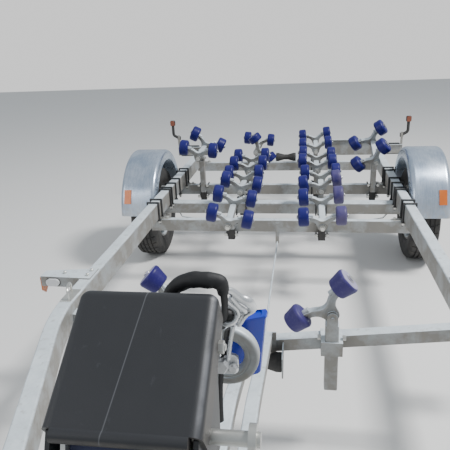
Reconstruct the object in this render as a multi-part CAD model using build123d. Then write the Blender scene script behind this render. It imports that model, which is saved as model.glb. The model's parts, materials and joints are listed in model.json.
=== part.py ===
"""Braked single-axle boat trailer with tandem roller cradles, a winch post and a jockey wheel.

Millimetres. +X is to the right as seen from the hitch looking back, +Y runs from the hitch to the
rear, +Z is up. The origin lies on the ground under the middle of the overall length.
"""
from build123d import *
import math
import os

# Overall size
LENGTH = 6100.0            # nose of the coupling to the rear face of the lamps
REAR_Y = LENGTH / 2
NOSE_Y = -LENGTH / 2
REAR_LAMP_DEPTH = 60.0
LAMP_BAR_SHEET = 3.0
LAMP_BAR_Y = REAR_Y - REAR_LAMP_DEPTH - LAMP_BAR_SHEET

# Main beams: two rectangular tubes, bent inwards ahead of the bow crossbeam
BEAM_TOP = 560.0
BEAM_HEIGHT = 110.0
BEAM_WIDTH = 60.0
BEAM_WALL = 4.0
BEAM_CORNER = 8.0          # outside corner radius of the tube
BEAM_OUTER_X = 820.0       # outer face of each beam
BEAM_REAR_Y = REAR_Y - 215.0
BEAM_BEND_Y = -221.0       # where the outer faces' straight lines meet
BEAM_BEND_RADIUS = 1000.0
DRAWBAR_ANGLE = 17.0       # each beam's turn towards the hitch, degrees
BEAM_FRONT_Y = NOSE_Y + 515.0
BEAM_BOTTOM = BEAM_TOP - BEAM_HEIGHT
BEAM_CENTRE_X = BEAM_OUTER_X - BEAM_WIDTH / 2
BEAM_INNER_X = BEAM_OUTER_X - BEAM_WIDTH
DRAWBAR_SLOPE = math.tan(math.radians(DRAWBAR_ANGLE))
DRAWBAR_COS = math.cos(math.radians(DRAWBAR_ANGLE))

# Crossbeams under the main beams
CROSS_HEIGHT = 80.0
CROSS_DEPTH = 40.0
CROSS_WALL = 3.0
CROSS_CORNER = 6.0
FRONT_CROSS_Y = 1223.0
MIDDLE_CROSS_Y = 2057.0
REAR_CROSS_Y = BEAM_REAR_Y - 22.0
BOW_CROSS_Y = -120.0
BOW_CROSS_SIZE = 50.0
BOW_CROSS_DROP = 89.0      # how far the middle of the V hangs below its ends
BOW_CROSS_END_TOP = BEAM_TOP - 46.0

# Axle
AXLE_Y = 1600.0
AXLE_SIZE = 80.0
AXLE_WALL = 6.0
AXLE_CORNER = 10.0
AXLE_TRAIL = 160.0         # spindle behind the axle tube
WHEEL_Y = AXLE_Y + AXLE_TRAIL
WHEEL_RADIUS = 325.0
WHEEL_X = 957.0
TYRE_WIDTH = 185.0
RIM_RADIUS = 178.0
RIM_WIDTH = 146.0
RIM_LIP = 5.0
RIM_DROP = 6.0             # the barrel is thinner than its lips by this on the inside
RIM_LIP_HEIGHT = 13.0
RIM_HOLES = 10
RIM_HOLE_RADIUS = 17.0
RIM_HOLE_CIRCLE = 128.0
TYRE_BEAD = 15.0           # bead's outer edge outside the rim's radius
# Tyre profile: how far in from half the width, how far from the tread to the bead in parts of 132
TYRE_PROFILE = [(30, 1), (14, 9), (5, 26), (0, 62), (3, 92), (10, 118)]
DRUM_OUTER = 115.0
DRUM_INNER_X = -88.0
ARM_INNER_X = 836.0
ARM_WIDTH = 20.0
ARM_TUBE_RADIUS = 40.0     # the arm's round ends, at the axle tube and at the spindle
ARM_SPINDLE_RADIUS = 30.0
SPINDLE_RADIUS = 17.0
SPINDLE_REACH = 20.0       # spindle's end outside the wheel's middle
BACKPLATE_RADIUS = 118.0
BACKPLATE_SHEET = 5.0
HUB_RADIUS = 34.0
RUNNING_CLEARANCE = 0.3

# Fenders
FENDER_INNER_X = 835.0
FENDER_OUTER_X = 1080.0
FENDER_RADIUS = 400.0
FENDER_CENTRE_Z = 385.0
FENDER_SHOULDER = 30.0
FENDER_SKIRT = 42.0
FENDER_SHEET = 3.0
FENDER_SWEEP = 172.0       # degrees of arc
FENDER_STAY_REACH = 367.0
FENDER_STAY_HEIGHT = 65.0
BRACKET_SHEET = 5.0
U_BOLT_RADIUS = 6.0
U_BOLT_ROWS = [1187.0, 1260.0, 1495.0, 1545.0, 1662.0, 1788.0, 2016.0, 2096.0,
               REAR_CROSS_Y - 43.0]
U_BOLT_BOTTOM = 424.0
CLAMP_SHEET = 6.0
CLAMP_WIDTH = 22.0

# Lamp bars at the rear and the front side lamps
LAMP_BAR_OUTER_X = 1040.0
LAMP_BAR_LOW = 478.0
LAMP_BAR_TOP = 560.0
LAMP_BAR_LIP = 20.0        # top edge folded forwards
LEFT_BAR_INNER_X = 700.0
PANEL_INNER_X = 402.0      # number-plate panel
PANEL_OUTER_X = 777.0
PANEL_LOW = 467.0
PANEL_TOP = 611.0
PANEL_LIP = 22.0
REAR_ARM_SHEET = 6.0
REAR_ARM_Y = LAMP_BAR_Y - 197.0
REAR_ARM_LOW = 478.0
REAR_ARM_TOP = 548.0
REAR_LAMP_INNER_X = 838.0
REAR_LAMP_OUTER_X = 1020.0
REAR_LAMP_LOW = 470.0
REAR_LAMP_TOP = 570.0
MARKER_STRIP_X = 1028.0
MARKER_STRIP_WIDTH = 20.0
MARKER_STRIP_LOW = 540.0
MARKER_STRIP_TOP = 675.0
MARKER_ARM_RADIUS = 13.0
MARKER_X = 1081.0
MARKER_LOW = 762.0
MARKER_WIDTH = 45.0
MARKER_LENGTH = 50.0
MARKER_HEIGHT = 50.0
LAMP_BRACKET_INNER_X = 768.0
LAMP_BRACKET_OUTER_X = 1005.0
LAMP_BRACKET_FRONT_Y = 80.0
LAMP_BRACKET_DROP = 48.0
FRONT_LAMP_X = 945.0
FRONT_LAMP_Z = 540.0
FRONT_LAMP_WIDTH = 62.0
FRONT_LAMP_HEIGHT = 34.0
FRONT_LAMP_DEPTH = 14.0
END_REFLECTOR_DEPTH = 7.0
FENDER_REFLECTOR_X = 1025.0
FENDER_REFLECTOR_ANGLE = 67.0
FENDER_REFLECTOR_WIDTH = 46.0
FENDER_REFLECTOR_LENGTH = 96.0

# Keel rollers: one behind the rear crossbeam, one ahead of the bow crossbeam
KEEL_ROLLER_X = -5.0
KEEL_ROLLER_Y = REAR_CROSS_Y + 67.0
KEEL_ROLLER_Z = 478.0
BOW_KEEL_ROLLER_Y = -195.0
BOW_KEEL_ROLLER_Z = 368.0
KEEL_ROLLER_LENGTH = 180.0
KEEL_ROLLER_END = 38.0
KEEL_ROLLER_WAIST = 24.0

# Rollers and forks
ROLLER_RADIUS = 57.0
ROLLER_WIDTH = 62.0
ROLLER_EDGE = 14.0
ROLLER_X = 108.0           # roller centre from the fork's middle
FORK_RISE = 72.0           # roller axis above the fork's bolt
FORK_WEB = 12.0
FORK_FLANGE_WIDTH = 34.0
FORK_FLANGE = 6.0
FORK_CREST = 50.0          # top of the flange above the bolt, in the middle
FORK_HEEL = -14.0
FORK_BOSS_RADIUS = 22.0
FORK_BOSS_LENGTH = 26.0
STUB_RADIUS = 13.0
CRADLE_HALF = 140.0        # fork bolt from the cradle's pivot, along the trailer
SPINE_SIZE = 40.0
PIVOT_DROP = 40.0          # cradle pivot below the spine's centre line
LUG_WIDTH = 30.0
LUG_RADIUS = 15.0
PIN_RADIUS = 6.0
POST_SIZE = 40.0
POST_WALL = 4.0
POST_CORNER = 6.0
POST_TAIL = 35.0           # how far a post hangs below its crossbeam
POST_BOTTOM = BEAM_BOTTOM - CROSS_HEIGHT - POST_TAIL
POST_CAP_HEIGHT = 65.0
POST_CAP_SHEET = 2.0
POST_CLAMP_X = 34.0        # clamp bolts to each side of a post's middle
POST_CLAMP_RADIUS = 5.0
POST_LUG_HEIGHT = 20.0

# Winch stand
RAIL_SIZE = 40.0
RAIL_WALL = 3.0
RAIL_X = 32.0
BOW_BLOCK_Y = -1290.0
WINCH_POST_Y = BOW_BLOCK_Y - 180.0
WINCH_SHAFT_Y = WINCH_POST_Y - 20.0
RAIL_FRONT_Y = WINCH_POST_Y - 170.0
RAIL_BEND_Y = -720.0
RAIL_BEND_RADIUS = 400.0
POST_TUBE = 60.0
WINCH_SHAFT_Z = 1165.0
WINCH_SIDE_X = 70.0
WINCH_PLATE = 5.0
DRUM_RADIUS = 20.0
FLANGE_RADIUS = 50.0
STRAP_WIDTH = 112.0
STRAP_ROLL_RADIUS = 42.0
SHAFT_RADIUS = 8.0
SHAFT_FAR_X = -78.0
DRUM_FLANGE = 5.0
CRANK_X = 116.0
CRANK_LENGTH = 168.0
CRANK_SHEET = 8.0
CRANK_HALF = 14.0
GRIP_LENGTH = 102.0
GRIP_RADIUS = 14.0
SLEEVE_WIDTH = 26.0        # sleeved free end of the strap
SLEEVE_THICKNESS = 12.0
RAIL_END_Z = 436.0
RAIL_CROSS_ROWS = [RAIL_FRONT_Y + 80.0, RAIL_FRONT_Y + 620.0]
END_PLATE_HALF = 66.0      # plate that joins the rails to the bow crossbeam
END_PLATE_LOW = 378.0
END_PLATE_TOP = 470.0
STAND_PLATE = 6.0          # sheet of the stand's plates
FOOT_HALF_LENGTH = 70.0
BRACE_SIZE = 36.0
BRACE_TOP_Z = 980.0
BRACE_REACH = 330.0
HEAD_ARM_SIZE = 40.0
HEAD_PLATE_HALF = 40.0
HEAD_PLATE_LOW = 1040.0
WINCH_SIDE_REACH = 62.0    # side plates in front of and behind the shaft
WINCH_SIDE_TOP = 1250.0
WINCH_BASE_Z = 1100.0
BOW_BLOCK_LOW = 1063.0
BOW_BLOCK_TOP = 1176.0
BOW_BLOCK_HALF = 60.0
BOW_WING_X = 119.0
BOW_WING_REACH = 50.0
BOW_WING_SHEET = 24.0
BOW_NOTCH = 18.0
BOW_WING_TAPER = 13.0      # each wing's foot is this much further in than its top
HOOD_WIDTH = 158.0
HOOD_NEAR_Y = WINCH_SHAFT_Y - 49.0
HOOD_NEAR_Z = 1207.0
HOOD_FAR_Y = WINCH_SHAFT_Y + 80.0
HOOD_FAR_Z = 1290.0
HOOD_DEPTH = 46.0
HOOD_EDGE = 12.0           # rounding of the hood's top edges
HOOD_SHEET = 4.0
HOOD_LIP_RADIUS = 8.0
RING_X = 66.0              # strap ring beside the bow block
RING_Z = 1140.0
RING_OUTER = 45.0
RING_HOLE = 30.0
RING_DEPTH = 18.0

# Coupling and jockey wheel
DRAWBAR_AXIS_Z = 505.0
HOUSING_HALF = 48.0
HOUSING_FRONT_Y = BEAM_FRONT_Y - 165.0
HOUSING_REAR_Y = BEAM_FRONT_Y + 175.0
HOUSING_NOSE_Y = HOUSING_FRONT_Y - 60.0
HOUSING_NOSE_RADIUS = 42.0
TIE_PLATE_SHEET = 6.0
TIE_PLATE_FRONT_Y = BEAM_FRONT_Y + 5.0
TIE_PLATE_REAR_Y = BEAM_FRONT_Y + 145.0
TIE_PLATE_FRONT_HALF = 108.0
TIE_PLATE_REAR_HALF = 150.0
DRAW_TUBE_RADIUS = 25.0
BELLOWS_FRONT_Y = HOUSING_NOSE_Y - 100.0
BELLOWS_FOLDS = 5
BELLOWS_CREST = 44.0
BELLOWS_VALLEY = 32.0
BELLOWS_END = 34.0
BALL_Y = BELLOWS_FRONT_Y - 125.0
BALL_Z = 488.0
BALL_RADIUS = 25.2
HEAD_RADIUS = 38.0
HEAD_LOW = 468.0
HEAD_TOP = 528.0
LEVER_X = 58.0             # handbrake lever
LEVER_PIVOT = (HOUSING_FRONT_Y + 60.0, 528.0)
LEVER_TIP = (HOUSING_FRONT_Y + 370.0, 738.0)
LEVER_GRIP = ((HOUSING_FRONT_Y + 350.0, 724.0), (HOUSING_FRONT_Y + 460.0, 799.0))
LEVER_GRIP_RADIUS = 15.0
JOCKEY_X = 235.0
JOCKEY_Y = BEAM_FRONT_Y + 285.0
JOCKEY_OUTER_RADIUS = 24.0
JOCKEY_OUTER_BOTTOM = 440.0
JOCKEY_OUTER_TOP = 800.0
JOCKEY_CAP = 8.0           # closed top of the outer tube
JOCKEY_CLAMP_Z = 505.0
JOCKEY_CLAMP_LENGTH = 54.0
JOCKEY_CLAMP_HEIGHT = 74.0
JOCKEY_CRANK_Z = 828.0
JOCKEY_CRANK_REACH = 122.0
JOCKEY_GRIP_TOP = 905.0
JOCKEY_INNER_TOP = 600.0
JOCKEY_INNER_RADIUS = 20.0
JOCKEY_WHEEL_RADIUS = 100.0
JOCKEY_WHEEL_WIDTH = 50.0
JOCKEY_TRAIL = 45.0
JOCKEY_CROWN_Z = 212.0
JOCKEY_FORK_SHEET = 4.0
JOCKEY_FORK_GAP = 6.0      # fork plate to wheel
KINGPIN_RADIUS = 8.0
KINGPIN_LENGTH = 42.0
BRAKE_ROD_Z = 304.0
BRAKE_ROD_RADIUS = 5.0
BRAKE_CABLE_RADIUS = 4.0
EQUALISER_Y = AXLE_Y - 122.0
EQUALISER_HALF = 70.0
HANGER_HALF = 11.0
HANGER_SHEET = 4.0

# Cradle table: name, post x, crossbeam it stands against, its side of it (-1 front, +1 rear), that
# crossbeam's depth, height of the fork bolts, pitch (rear up), roll of the front and the rear fork
CRADLES = [
    ("left_1", -288.0, FRONT_CROSS_Y, -1, CROSS_DEPTH, 486.0, 8.0, -12.6, -9.8),
    ("left_2", -269.0, AXLE_Y, 1, AXLE_SIZE, 536.0, -1.6, -9.9, 0.7),
    ("left_3", -252.0, MIDDLE_CROSS_Y, 1, CROSS_DEPTH, 565.0, -0.6, 0.6, 1.8),
    ("left_4", -265.0, REAR_CROSS_Y, 1, CROSS_DEPTH, 555.0, 0.2, -53.3, -6.2),
    ("right_1", 275.0, FRONT_CROSS_Y, -1, CROSS_DEPTH, 486.0, 8.0, 2.8, 4.4),
    ("right_2", 280.0, AXLE_Y, 1, AXLE_SIZE, 540.0, -1.6, 9.8, 2.6),
    ("right_3", 256.0, MIDDLE_CROSS_Y, 1, CROSS_DEPTH, 575.0, -0.6, -1.5, -2.9),
    ("right_4", 263.0, REAR_CROSS_Y, 1, CROSS_DEPTH, 578.0, 5.9, 4.1, 6.5),
    ("side_left", -620.0, MIDDLE_CROSS_Y, -1, CROSS_DEPTH, 710.0, 5.0, -6.7, -25.7),
    ("side_right", 673.0, MIDDLE_CROSS_Y, -1, CROSS_DEPTH, 706.0, 18.0, 41.5, 36.0),
]

# Bow fork table: name, post x, roll
BOW_FORKS = [("bow_left", -359.0, -42.0), ("bow_right", 274.0, 42.0)]
BOW_POST_SIZE = 50.0
BOW_POST_Y = BOW_CROSS_Y - (BOW_CROSS_SIZE + BOW_POST_SIZE) / 2
BOW_POST_BOTTOM = 252.0
BOW_PIVOT_Z = 563.0
BOW_SLEEVE_WALL = 15.0
BOW_SLEEVE_RISE = 7.0      # sleeve's top above the bow crossbeam's top at the post
BOW_EAR = 6.0
BOW_EAR_RADIUS = 20.0
BOW_ROLLER_SMALL = 40.0
BOW_ROLLER_LARGE = 52.0
BOW_ROLLER_WIDTH = 70.0
BOW_ROLLER_EDGE = 13.0
BOW_ROLLER_X = 109.0


def box_between(x0, x1, y0, y1, z0, z1):
    """A box given by its two corners."""
    size = (abs(x1 - x0), abs(y1 - y0), abs(z1 - z0))
    return Pos((x0 + x1) / 2, (y0 + y1) / 2, (z0 + z1) / 2) * Box(*size)


def hollow_section(width, height, wall, corner):
    """Outline of a rectangular tube with rounded corners."""
    inner_corner = max(corner - wall, 1.0)
    inner = RectangleRounded(width - 2 * wall, height - 2 * wall, inner_corner)
    return RectangleRounded(width, height, corner) - inner


def tube_x(x0, x1, y, z, depth, height, wall, corner):
    """A rectangular tube along X, centred on y and z."""
    plane = Plane(origin=(x0, y, z), x_dir=(0, 1, 0), z_dir=(1, 0, 0))
    return plane * extrude(hollow_section(depth, height, wall, corner), x1 - x0)


def rod(start, end, radius):
    """A round bar between two points."""
    start, end = Vector(*start), Vector(*end)
    plane = Plane(origin=start, z_dir=end - start)
    return plane * extrude(Circle(radius), (end - start).length)


def cylinder_x(x0, x1, y, z, radius):
    return rod((x0, y, z), (x1, y, z), radius)


def bent_rod(points, radius):
    """Round bar through several points, rounded at its corners."""
    bar = rod(points[0], points[1], radius)
    for start, end in zip(points[1:], points[2:]):
        bar += Pos(*start) * Sphere(radius)
        bar += rod(start, end, radius)
    return bar


def bar_along(start, end, width, height):
    """A solid square bar between two points, its width kept level."""
    start, end = Vector(*start), Vector(*end)
    direction = (end - start).normalized()
    side = Vector(0, 0, 1).cross(direction).normalized()
    plane = Plane(origin=start, x_dir=side, z_dir=direction)
    return plane * extrude(Rectangle(width, height), (end - start).length)


def both_sides(shape):
    """A shape on the +X side and its mirror image."""
    return [shape, mirror(shape, Plane.YZ)]


def beam_outer_x(y):
    """Outer face of a main beam at y, ahead of its bend."""
    return BEAM_OUTER_X - max(0.0, BEAM_BEND_Y - y) * DRAWBAR_SLOPE


def beam_inner_x(y):
    if y > BEAM_BEND_Y:
        return BEAM_INNER_X
    return beam_outer_x(y) - BEAM_WIDTH / DRAWBAR_COS


def main_beam(side):
    """One bent rectangular tube, swept along its centre line."""
    corner_y = BEAM_BEND_Y + BEAM_WIDTH / 2 * math.tan(math.radians(DRAWBAR_ANGLE / 2))
    front_x = BEAM_CENTRE_X - (corner_y - BEAM_FRONT_Y) * DRAWBAR_SLOPE
    level = BEAM_TOP - BEAM_HEIGHT / 2
    route = FilletPolyline((BEAM_CENTRE_X, BEAM_REAR_Y, level), (BEAM_CENTRE_X, corner_y, level),
                           (front_x, BEAM_FRONT_Y, level), radius=BEAM_BEND_RADIUS)
    start = Plane(origin=route @ 0, x_dir=(1, 0, 0), z_dir=route % 0)
    hollow = hollow_section(BEAM_WIDTH, BEAM_HEIGHT, BEAM_WALL, BEAM_CORNER)
    beam = sweep(start * hollow, path=route)
    return beam if side > 0 else mirror(beam, Plane.YZ)


def crossbeams():
    """Three straight tubes hung under the main beams."""
    level = BEAM_BOTTOM - CROSS_HEIGHT / 2
    reach = BEAM_OUTER_X - 4
    return [tube_x(-reach, reach, y, level, CROSS_DEPTH, CROSS_HEIGHT, CROSS_WALL, CROSS_CORNER)
            for y in (FRONT_CROSS_Y, MIDDLE_CROSS_Y, REAR_CROSS_Y)]


def bow_crossbeam():
    """The V-shaped tube between the beams, low in the middle for the keel."""
    half = BOW_CROSS_SIZE / 2
    end_x = BEAM_INNER_X
    top = [(-end_x, BOW_CROSS_END_TOP), (0, BOW_CROSS_END_TOP - BOW_CROSS_DROP), (end_x, BOW_CROSS_END_TOP)]
    low = [(x, z - BOW_CROSS_SIZE) for x, z in reversed(top)]
    outline = make_face(Polyline(*top, *low, close=True))
    plane = Plane(origin=(0, BOW_CROSS_Y + half, 0), x_dir=(1, 0, 0), z_dir=(0, -1, 0))
    return plane * extrude(outline, BOW_CROSS_SIZE)


def axle():
    """Axle tube with a trailing arm, spindle and brake backplate at each end."""
    level = BEAM_BOTTOM - AXLE_SIZE / 2
    tube = tube_x(-ARM_INNER_X, ARM_INNER_X, AXLE_Y, level, AXLE_SIZE, AXLE_SIZE, AXLE_WALL, AXLE_CORNER)
    plane = Plane(origin=(ARM_INNER_X, 0, 0), x_dir=(0, 1, 0), z_dir=(1, 0, 0))
    ends = Sketch() + [Pos(AXLE_Y, level) * Circle(ARM_TUBE_RADIUS),
                       Pos(WHEEL_Y, WHEEL_RADIUS) * Circle(ARM_SPINDLE_RADIUS)]
    arm = plane * extrude(make_hull(ends.edges()), ARM_WIDTH)
    arm_x = ARM_INNER_X + ARM_WIDTH
    arm += cylinder_x(arm_x, arm_x + BACKPLATE_SHEET, WHEEL_Y, WHEEL_RADIUS, BACKPLATE_RADIUS)
    arm += cylinder_x(arm_x, WHEEL_X + SPINDLE_REACH, WHEEL_Y, WHEEL_RADIUS, SPINDLE_RADIUS)
    return [tube, *both_sides(arm)]


def revolve_x(points, x, y, z):
    """Revolve an (x, radius) outline about a line along X through y and z."""
    face = make_face(Polyline(*points, close=True))
    plane = Plane(origin=(x, y, z), x_dir=(1, 0, 0), z_dir=(0, -1, 0))
    return revolve(plane * face, axis=Axis((x, y, z), (1, 0, 0)))


def tyre():
    """Closed tyre on the +X side, its beads standing between the rim's two lips."""
    bead = RIM_WIDTH / 2 - RIM_LIP
    part = (WHEEL_RADIUS - RIM_RADIUS - TYRE_BEAD) / 132
    right = [(TYRE_WIDTH / 2 - inward, WHEEL_RADIUS - down * part) for inward, down in TYRE_PROFILE]
    right.append((bead, RIM_RADIUS + TYRE_BEAD))
    left = [(-x, z) for x, z in reversed(right)]
    bottom = RIM_RADIUS + RUNNING_CLEARANCE
    points = [(0, WHEEL_RADIUS), *right, (bead, bottom), (-bead, bottom), *left]
    return revolve_x(points, WHEEL_X, WHEEL_Y, WHEEL_RADIUS)


def rim():
    """Steel wheel: barrel with two lips, dished disc, brake drum and a hub bored for the spindle."""
    half = RIM_WIDTH / 2
    r = RIM_RADIUS
    lip = r + RIM_LIP_HEIGHT
    well = r - RIM_DROP
    inside = half - RIM_LIP
    barrel = [(-half, lip), (-inside, lip), (-inside, r), (inside, r), (inside, lip), (half, lip),
              (half, r + 2), (half - 12, well), (-half + 12, well), (-half, r + 2)]
    wheel = revolve_x(barrel, WHEEL_X, WHEEL_Y, WHEEL_RADIUS)
    bore = SPINDLE_RADIUS + RUNNING_CLEARANCE
    reach = SPINDLE_REACH + 2
    disc = [(-14, bore), (reach, bore), (reach, 0), (46, 0), (46, 18), (38, HUB_RADIUS - 6), (26, HUB_RADIUS),
            (20, HUB_RADIUS + 8), (28, 88), (24, 124), (14, r - 5), (6, r - 5), (16, 122), (20, 88),
            (12, HUB_RADIUS + 16), (-4, HUB_RADIUS + 16), (-4, DRUM_OUTER), (DRUM_INNER_X, DRUM_OUTER),
            (DRUM_INNER_X, DRUM_OUTER - 8), (-12, DRUM_OUTER - 8), (-12, HUB_RADIUS), (-14, HUB_RADIUS)]
    wheel += revolve_x(disc, WHEEL_X, WHEEL_Y, WHEEL_RADIUS)
    for k in range(RIM_HOLES):
        angle = 2 * math.pi * k / RIM_HOLES
        y = WHEEL_Y + RIM_HOLE_CIRCLE * math.sin(angle)
        z = WHEEL_RADIUS + RIM_HOLE_CIRCLE * math.cos(angle)
        wheel -= cylinder_x(WHEEL_X + 2, WHEEL_X + 40, y, z, RIM_HOLE_RADIUS)
    return wheel


def rounded_box_section(x0, x1, low, top, radius):
    """A rectangle with its two upper corners rounded."""
    face = make_face(Polyline((x0, low), (x0, top), (x1, top), (x1, low), close=True))
    corners = face.vertices().group_by(Axis.Y)[-1]
    return fillet(corners, radius)


def fender():
    """Half-round mudguard on the +X side: a rounded U section revolved above the spindle, with its stays."""
    inner, outer, top = FENDER_INNER_X, FENDER_OUTER_X, FENDER_RADIUS
    edge = top - FENDER_SHOULDER - FENDER_SKIRT
    section = rounded_box_section(inner, outer, edge, top, FENDER_SHOULDER)
    section -= rounded_box_section(inner + FENDER_SHEET, outer - FENDER_SHEET, edge - 1, top - FENDER_SHEET,
                                   FENDER_SHOULDER - FENDER_SHEET)
    plane = Plane(origin=(0, WHEEL_Y, FENDER_CENTRE_Z), x_dir=(1, 0, 0), z_dir=(0, -1, 0))
    axis = Axis((0, WHEEL_Y, FENDER_CENTRE_Z), (1, 0, 0))
    shell = revolve((plane * section).rotate(axis, -FENDER_SWEEP / 2), axis=axis, revolution_arc=FENDER_SWEEP)
    low = BEAM_BOTTOM + 5
    for sign in (-1, 1):
        y = WHEEL_Y + sign * FENDER_STAY_REACH
        shell += box_between(BEAM_OUTER_X, inner + FENDER_SHEET, y - 18, y + 18, low, low + FENDER_STAY_HEIGHT)
    return shell


def roller():
    """A fork's roller on its +X side, along X about the fork's roller axis."""
    x0 = ROLLER_X - ROLLER_WIDTH / 2
    x1 = ROLLER_X + ROLLER_WIDTH / 2
    section = Pos((x0 + x1) / 2, ROLLER_RADIUS / 2) * Rectangle(ROLLER_WIDTH, ROLLER_RADIUS)
    section = fillet(section.vertices().group_by(Axis.Y)[-1], ROLLER_EDGE)
    section += Pos(x1, 6) * Rectangle(12, 12)
    return revolve(Plane.XZ * section, axis=Axis.X)


def bow_roller(side):
    """A bell roller of a bow fork; its wide end is always to the outside of the trailer."""
    x0 = BOW_ROLLER_X - BOW_ROLLER_WIDTH / 2
    x1 = BOW_ROLLER_X + BOW_ROLLER_WIDTH / 2
    small, large = BOW_ROLLER_SMALL, BOW_ROLLER_LARGE
    near, far = (small, large) if side > 0 else (large, small)
    section = make_face(Polyline((x0, 0), (x0, near), (x1, far), (x1, 0), close=True))
    rims = section.vertices().filter_by(lambda corner: corner.Y > 1)
    section = fillet(rims, BOW_ROLLER_EDGE)
    section += Pos(x1, 6) * Rectangle(12, 12)
    return revolve(Plane.XZ * section, axis=Axis.X)


def wing_line(reach, low_x, low, bend, tip):
    """Points of a gull-wing line: low and level in the middle, high and level at both tips."""
    half = [(low_x, low), (0.45 * reach, bend), (0.8 * reach, tip - 4), (reach, tip)]
    return [(-x, z) for x, z in reversed(half)] + half


def wing_band(upper, lower):
    """A face between two wing lines."""
    edges = [Spline(*upper), Line(upper[-1], lower[-1]), Spline(*reversed(lower)), Line(lower[0], upper[0])]
    return make_face(edges)


def fork(reach):
    """A gull-wing fork about its own bolt: curved flange and web, boss and two stubs out to reach."""
    rise = FORK_RISE
    crest = wing_line(reach, 14, FORK_CREST, FORK_CREST + 12, rise + 4)
    under = [(x, z - FORK_FLANGE) for x, z in crest]
    heel = wing_line(reach - 4, 22, FORK_HEEL, FORK_HEEL + 28, rise - 26)
    solid = Plane.XZ * extrude(wing_band(crest, under), FORK_FLANGE_WIDTH / 2, both=True)
    solid += Plane.XZ * extrude(wing_band(under, heel), FORK_WEB / 2, both=True)
    solid += Rot(90, 0, 0) * Cylinder(FORK_BOSS_RADIUS, FORK_BOSS_LENGTH)
    for side in (-1, 1):
        solid += Pos(side * (reach - 12), 0, rise) * Rot(0, 90, 0) * Cylinder(STUB_RADIUS, 24)
    return solid


def in_cradle(place, roll):
    """Where a fork stands in its cradle: place -1 in front, +1 behind."""
    return Pos(0, place * CRADLE_HALF, PIVOT_DROP) * Rot(0, -roll, 0)


def cradle(roll_front, roll_rear):
    """Spine, lug and two forks, about the cradle's pivot at the origin."""
    half = CRADLE_HALF - FORK_BOSS_LENGTH / 2
    plane = Plane(origin=(0, half, PIVOT_DROP), x_dir=(1, 0, 0), z_dir=(0, -1, 0))
    solid = plane * extrude(RectangleRounded(SPINE_SIZE, SPINE_SIZE, POST_CORNER), 2 * half)
    solid += Pos(0, 0, PIVOT_DROP / 2) * Box(LUG_WIDTH, 2 * LUG_RADIUS, PIVOT_DROP)
    solid += Rot(0, 90, 0) * Cylinder(LUG_RADIUS, LUG_WIDTH)
    for place, roll in ((-1, roll_front), (1, roll_rear)):
        solid += in_cradle(place, roll) * fork(ROLLER_X - ROLLER_WIDTH / 2)
    return solid - Rot(0, 90, 0) * Cylinder(PIN_RADIUS + RUNNING_CLEARANCE, 2 * LUG_WIDTH)


def cradle_rollers(roll_front, roll_rear):
    """The four rollers of a cradle, about the cradle's pivot."""
    pair = [Pos(0, 0, FORK_RISE) * roller(), Pos(0, 0, FORK_RISE) * mirror(roller(), Plane.YZ)]
    return [in_cradle(place, roll) * one for place, roll in ((-1, roll_front), (1, roll_rear)) for one in pair]


def cradle_post(x, y, bolt_z):
    """Square tube post with two ears and the cradle's pivot pin."""
    pivot_z = bolt_z - PIVOT_DROP
    half = POST_SIZE / 2
    section = hollow_section(POST_SIZE, POST_SIZE, POST_WALL, POST_CORNER)
    post = Pos(x, y, POST_BOTTOM) * extrude(section, pivot_z - POST_BOTTOM)
    post += cylinder_x(x - half, x + half, y, pivot_z, LUG_RADIUS)
    slot = LUG_WIDTH / 2 + 1
    low = pivot_z - LUG_RADIUS - 6
    post -= box_between(x - slot, x + slot, y - half - 1, y + half + 1, low, pivot_z + half)
    return post + cylinder_x(x - half - 8, x + half + 8, y, pivot_z, PIN_RADIUS)


def post_cap(x, y, side):
    """Plastic cap over a post's foot, open on the side of its crossbeam."""
    half = POST_SIZE / 2 + POST_CAP_SHEET
    outside = extrude(RectangleRounded(2 * half, 2 * half, POST_CORNER), POST_CAP_HEIGHT)
    inside = extrude(RectangleRounded(POST_SIZE, POST_SIZE, POST_CORNER), POST_CAP_HEIGHT)
    cap = Pos(x, y, POST_BOTTOM - POST_CAP_SHEET) * outside - Pos(x, y, POST_BOTTOM) * inside
    face = y - side * POST_SIZE / 2
    low = BEAM_BOTTOM - CROSS_HEIGHT
    back = face - side * half
    return cap - box_between(x - half - 1, x + half + 1, face, back, low, low + POST_CAP_HEIGHT)


def post_clamp(x, y, side, depth):
    """Two strap bolts round the crossbeam behind a post, through lugs on both sides of the post."""
    r = POST_CLAMP_RADIUS
    face = y + side * POST_SIZE / 2
    back = y - side * (POST_SIZE / 2 + depth + r)
    low, high = BEAM_BOTTOM - CROSS_HEIGHT - r, BEAM_BOTTOM + r
    clamps = []
    for sign in (-1, 1):
        bolt_x = x + sign * POST_CLAMP_X
        clamp = bent_rod([(bolt_x, face + side * 8, low), (bolt_x, back, low), (bolt_x, back, high),
                          (bolt_x, face + side * 8, high)], r)
        for near, centre in ((POST_SIZE / 2 + POST_CAP_SHEET, low), (POST_SIZE / 2, high - 7)):
            clamp += box_between(x + sign * near, x + sign * (POST_CLAMP_X + 9), face - side * 6, face,
                                 centre - POST_LUG_HEIGHT / 2, centre + POST_LUG_HEIGHT / 2)
        clamps.append(clamp)
    return clamps


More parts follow.
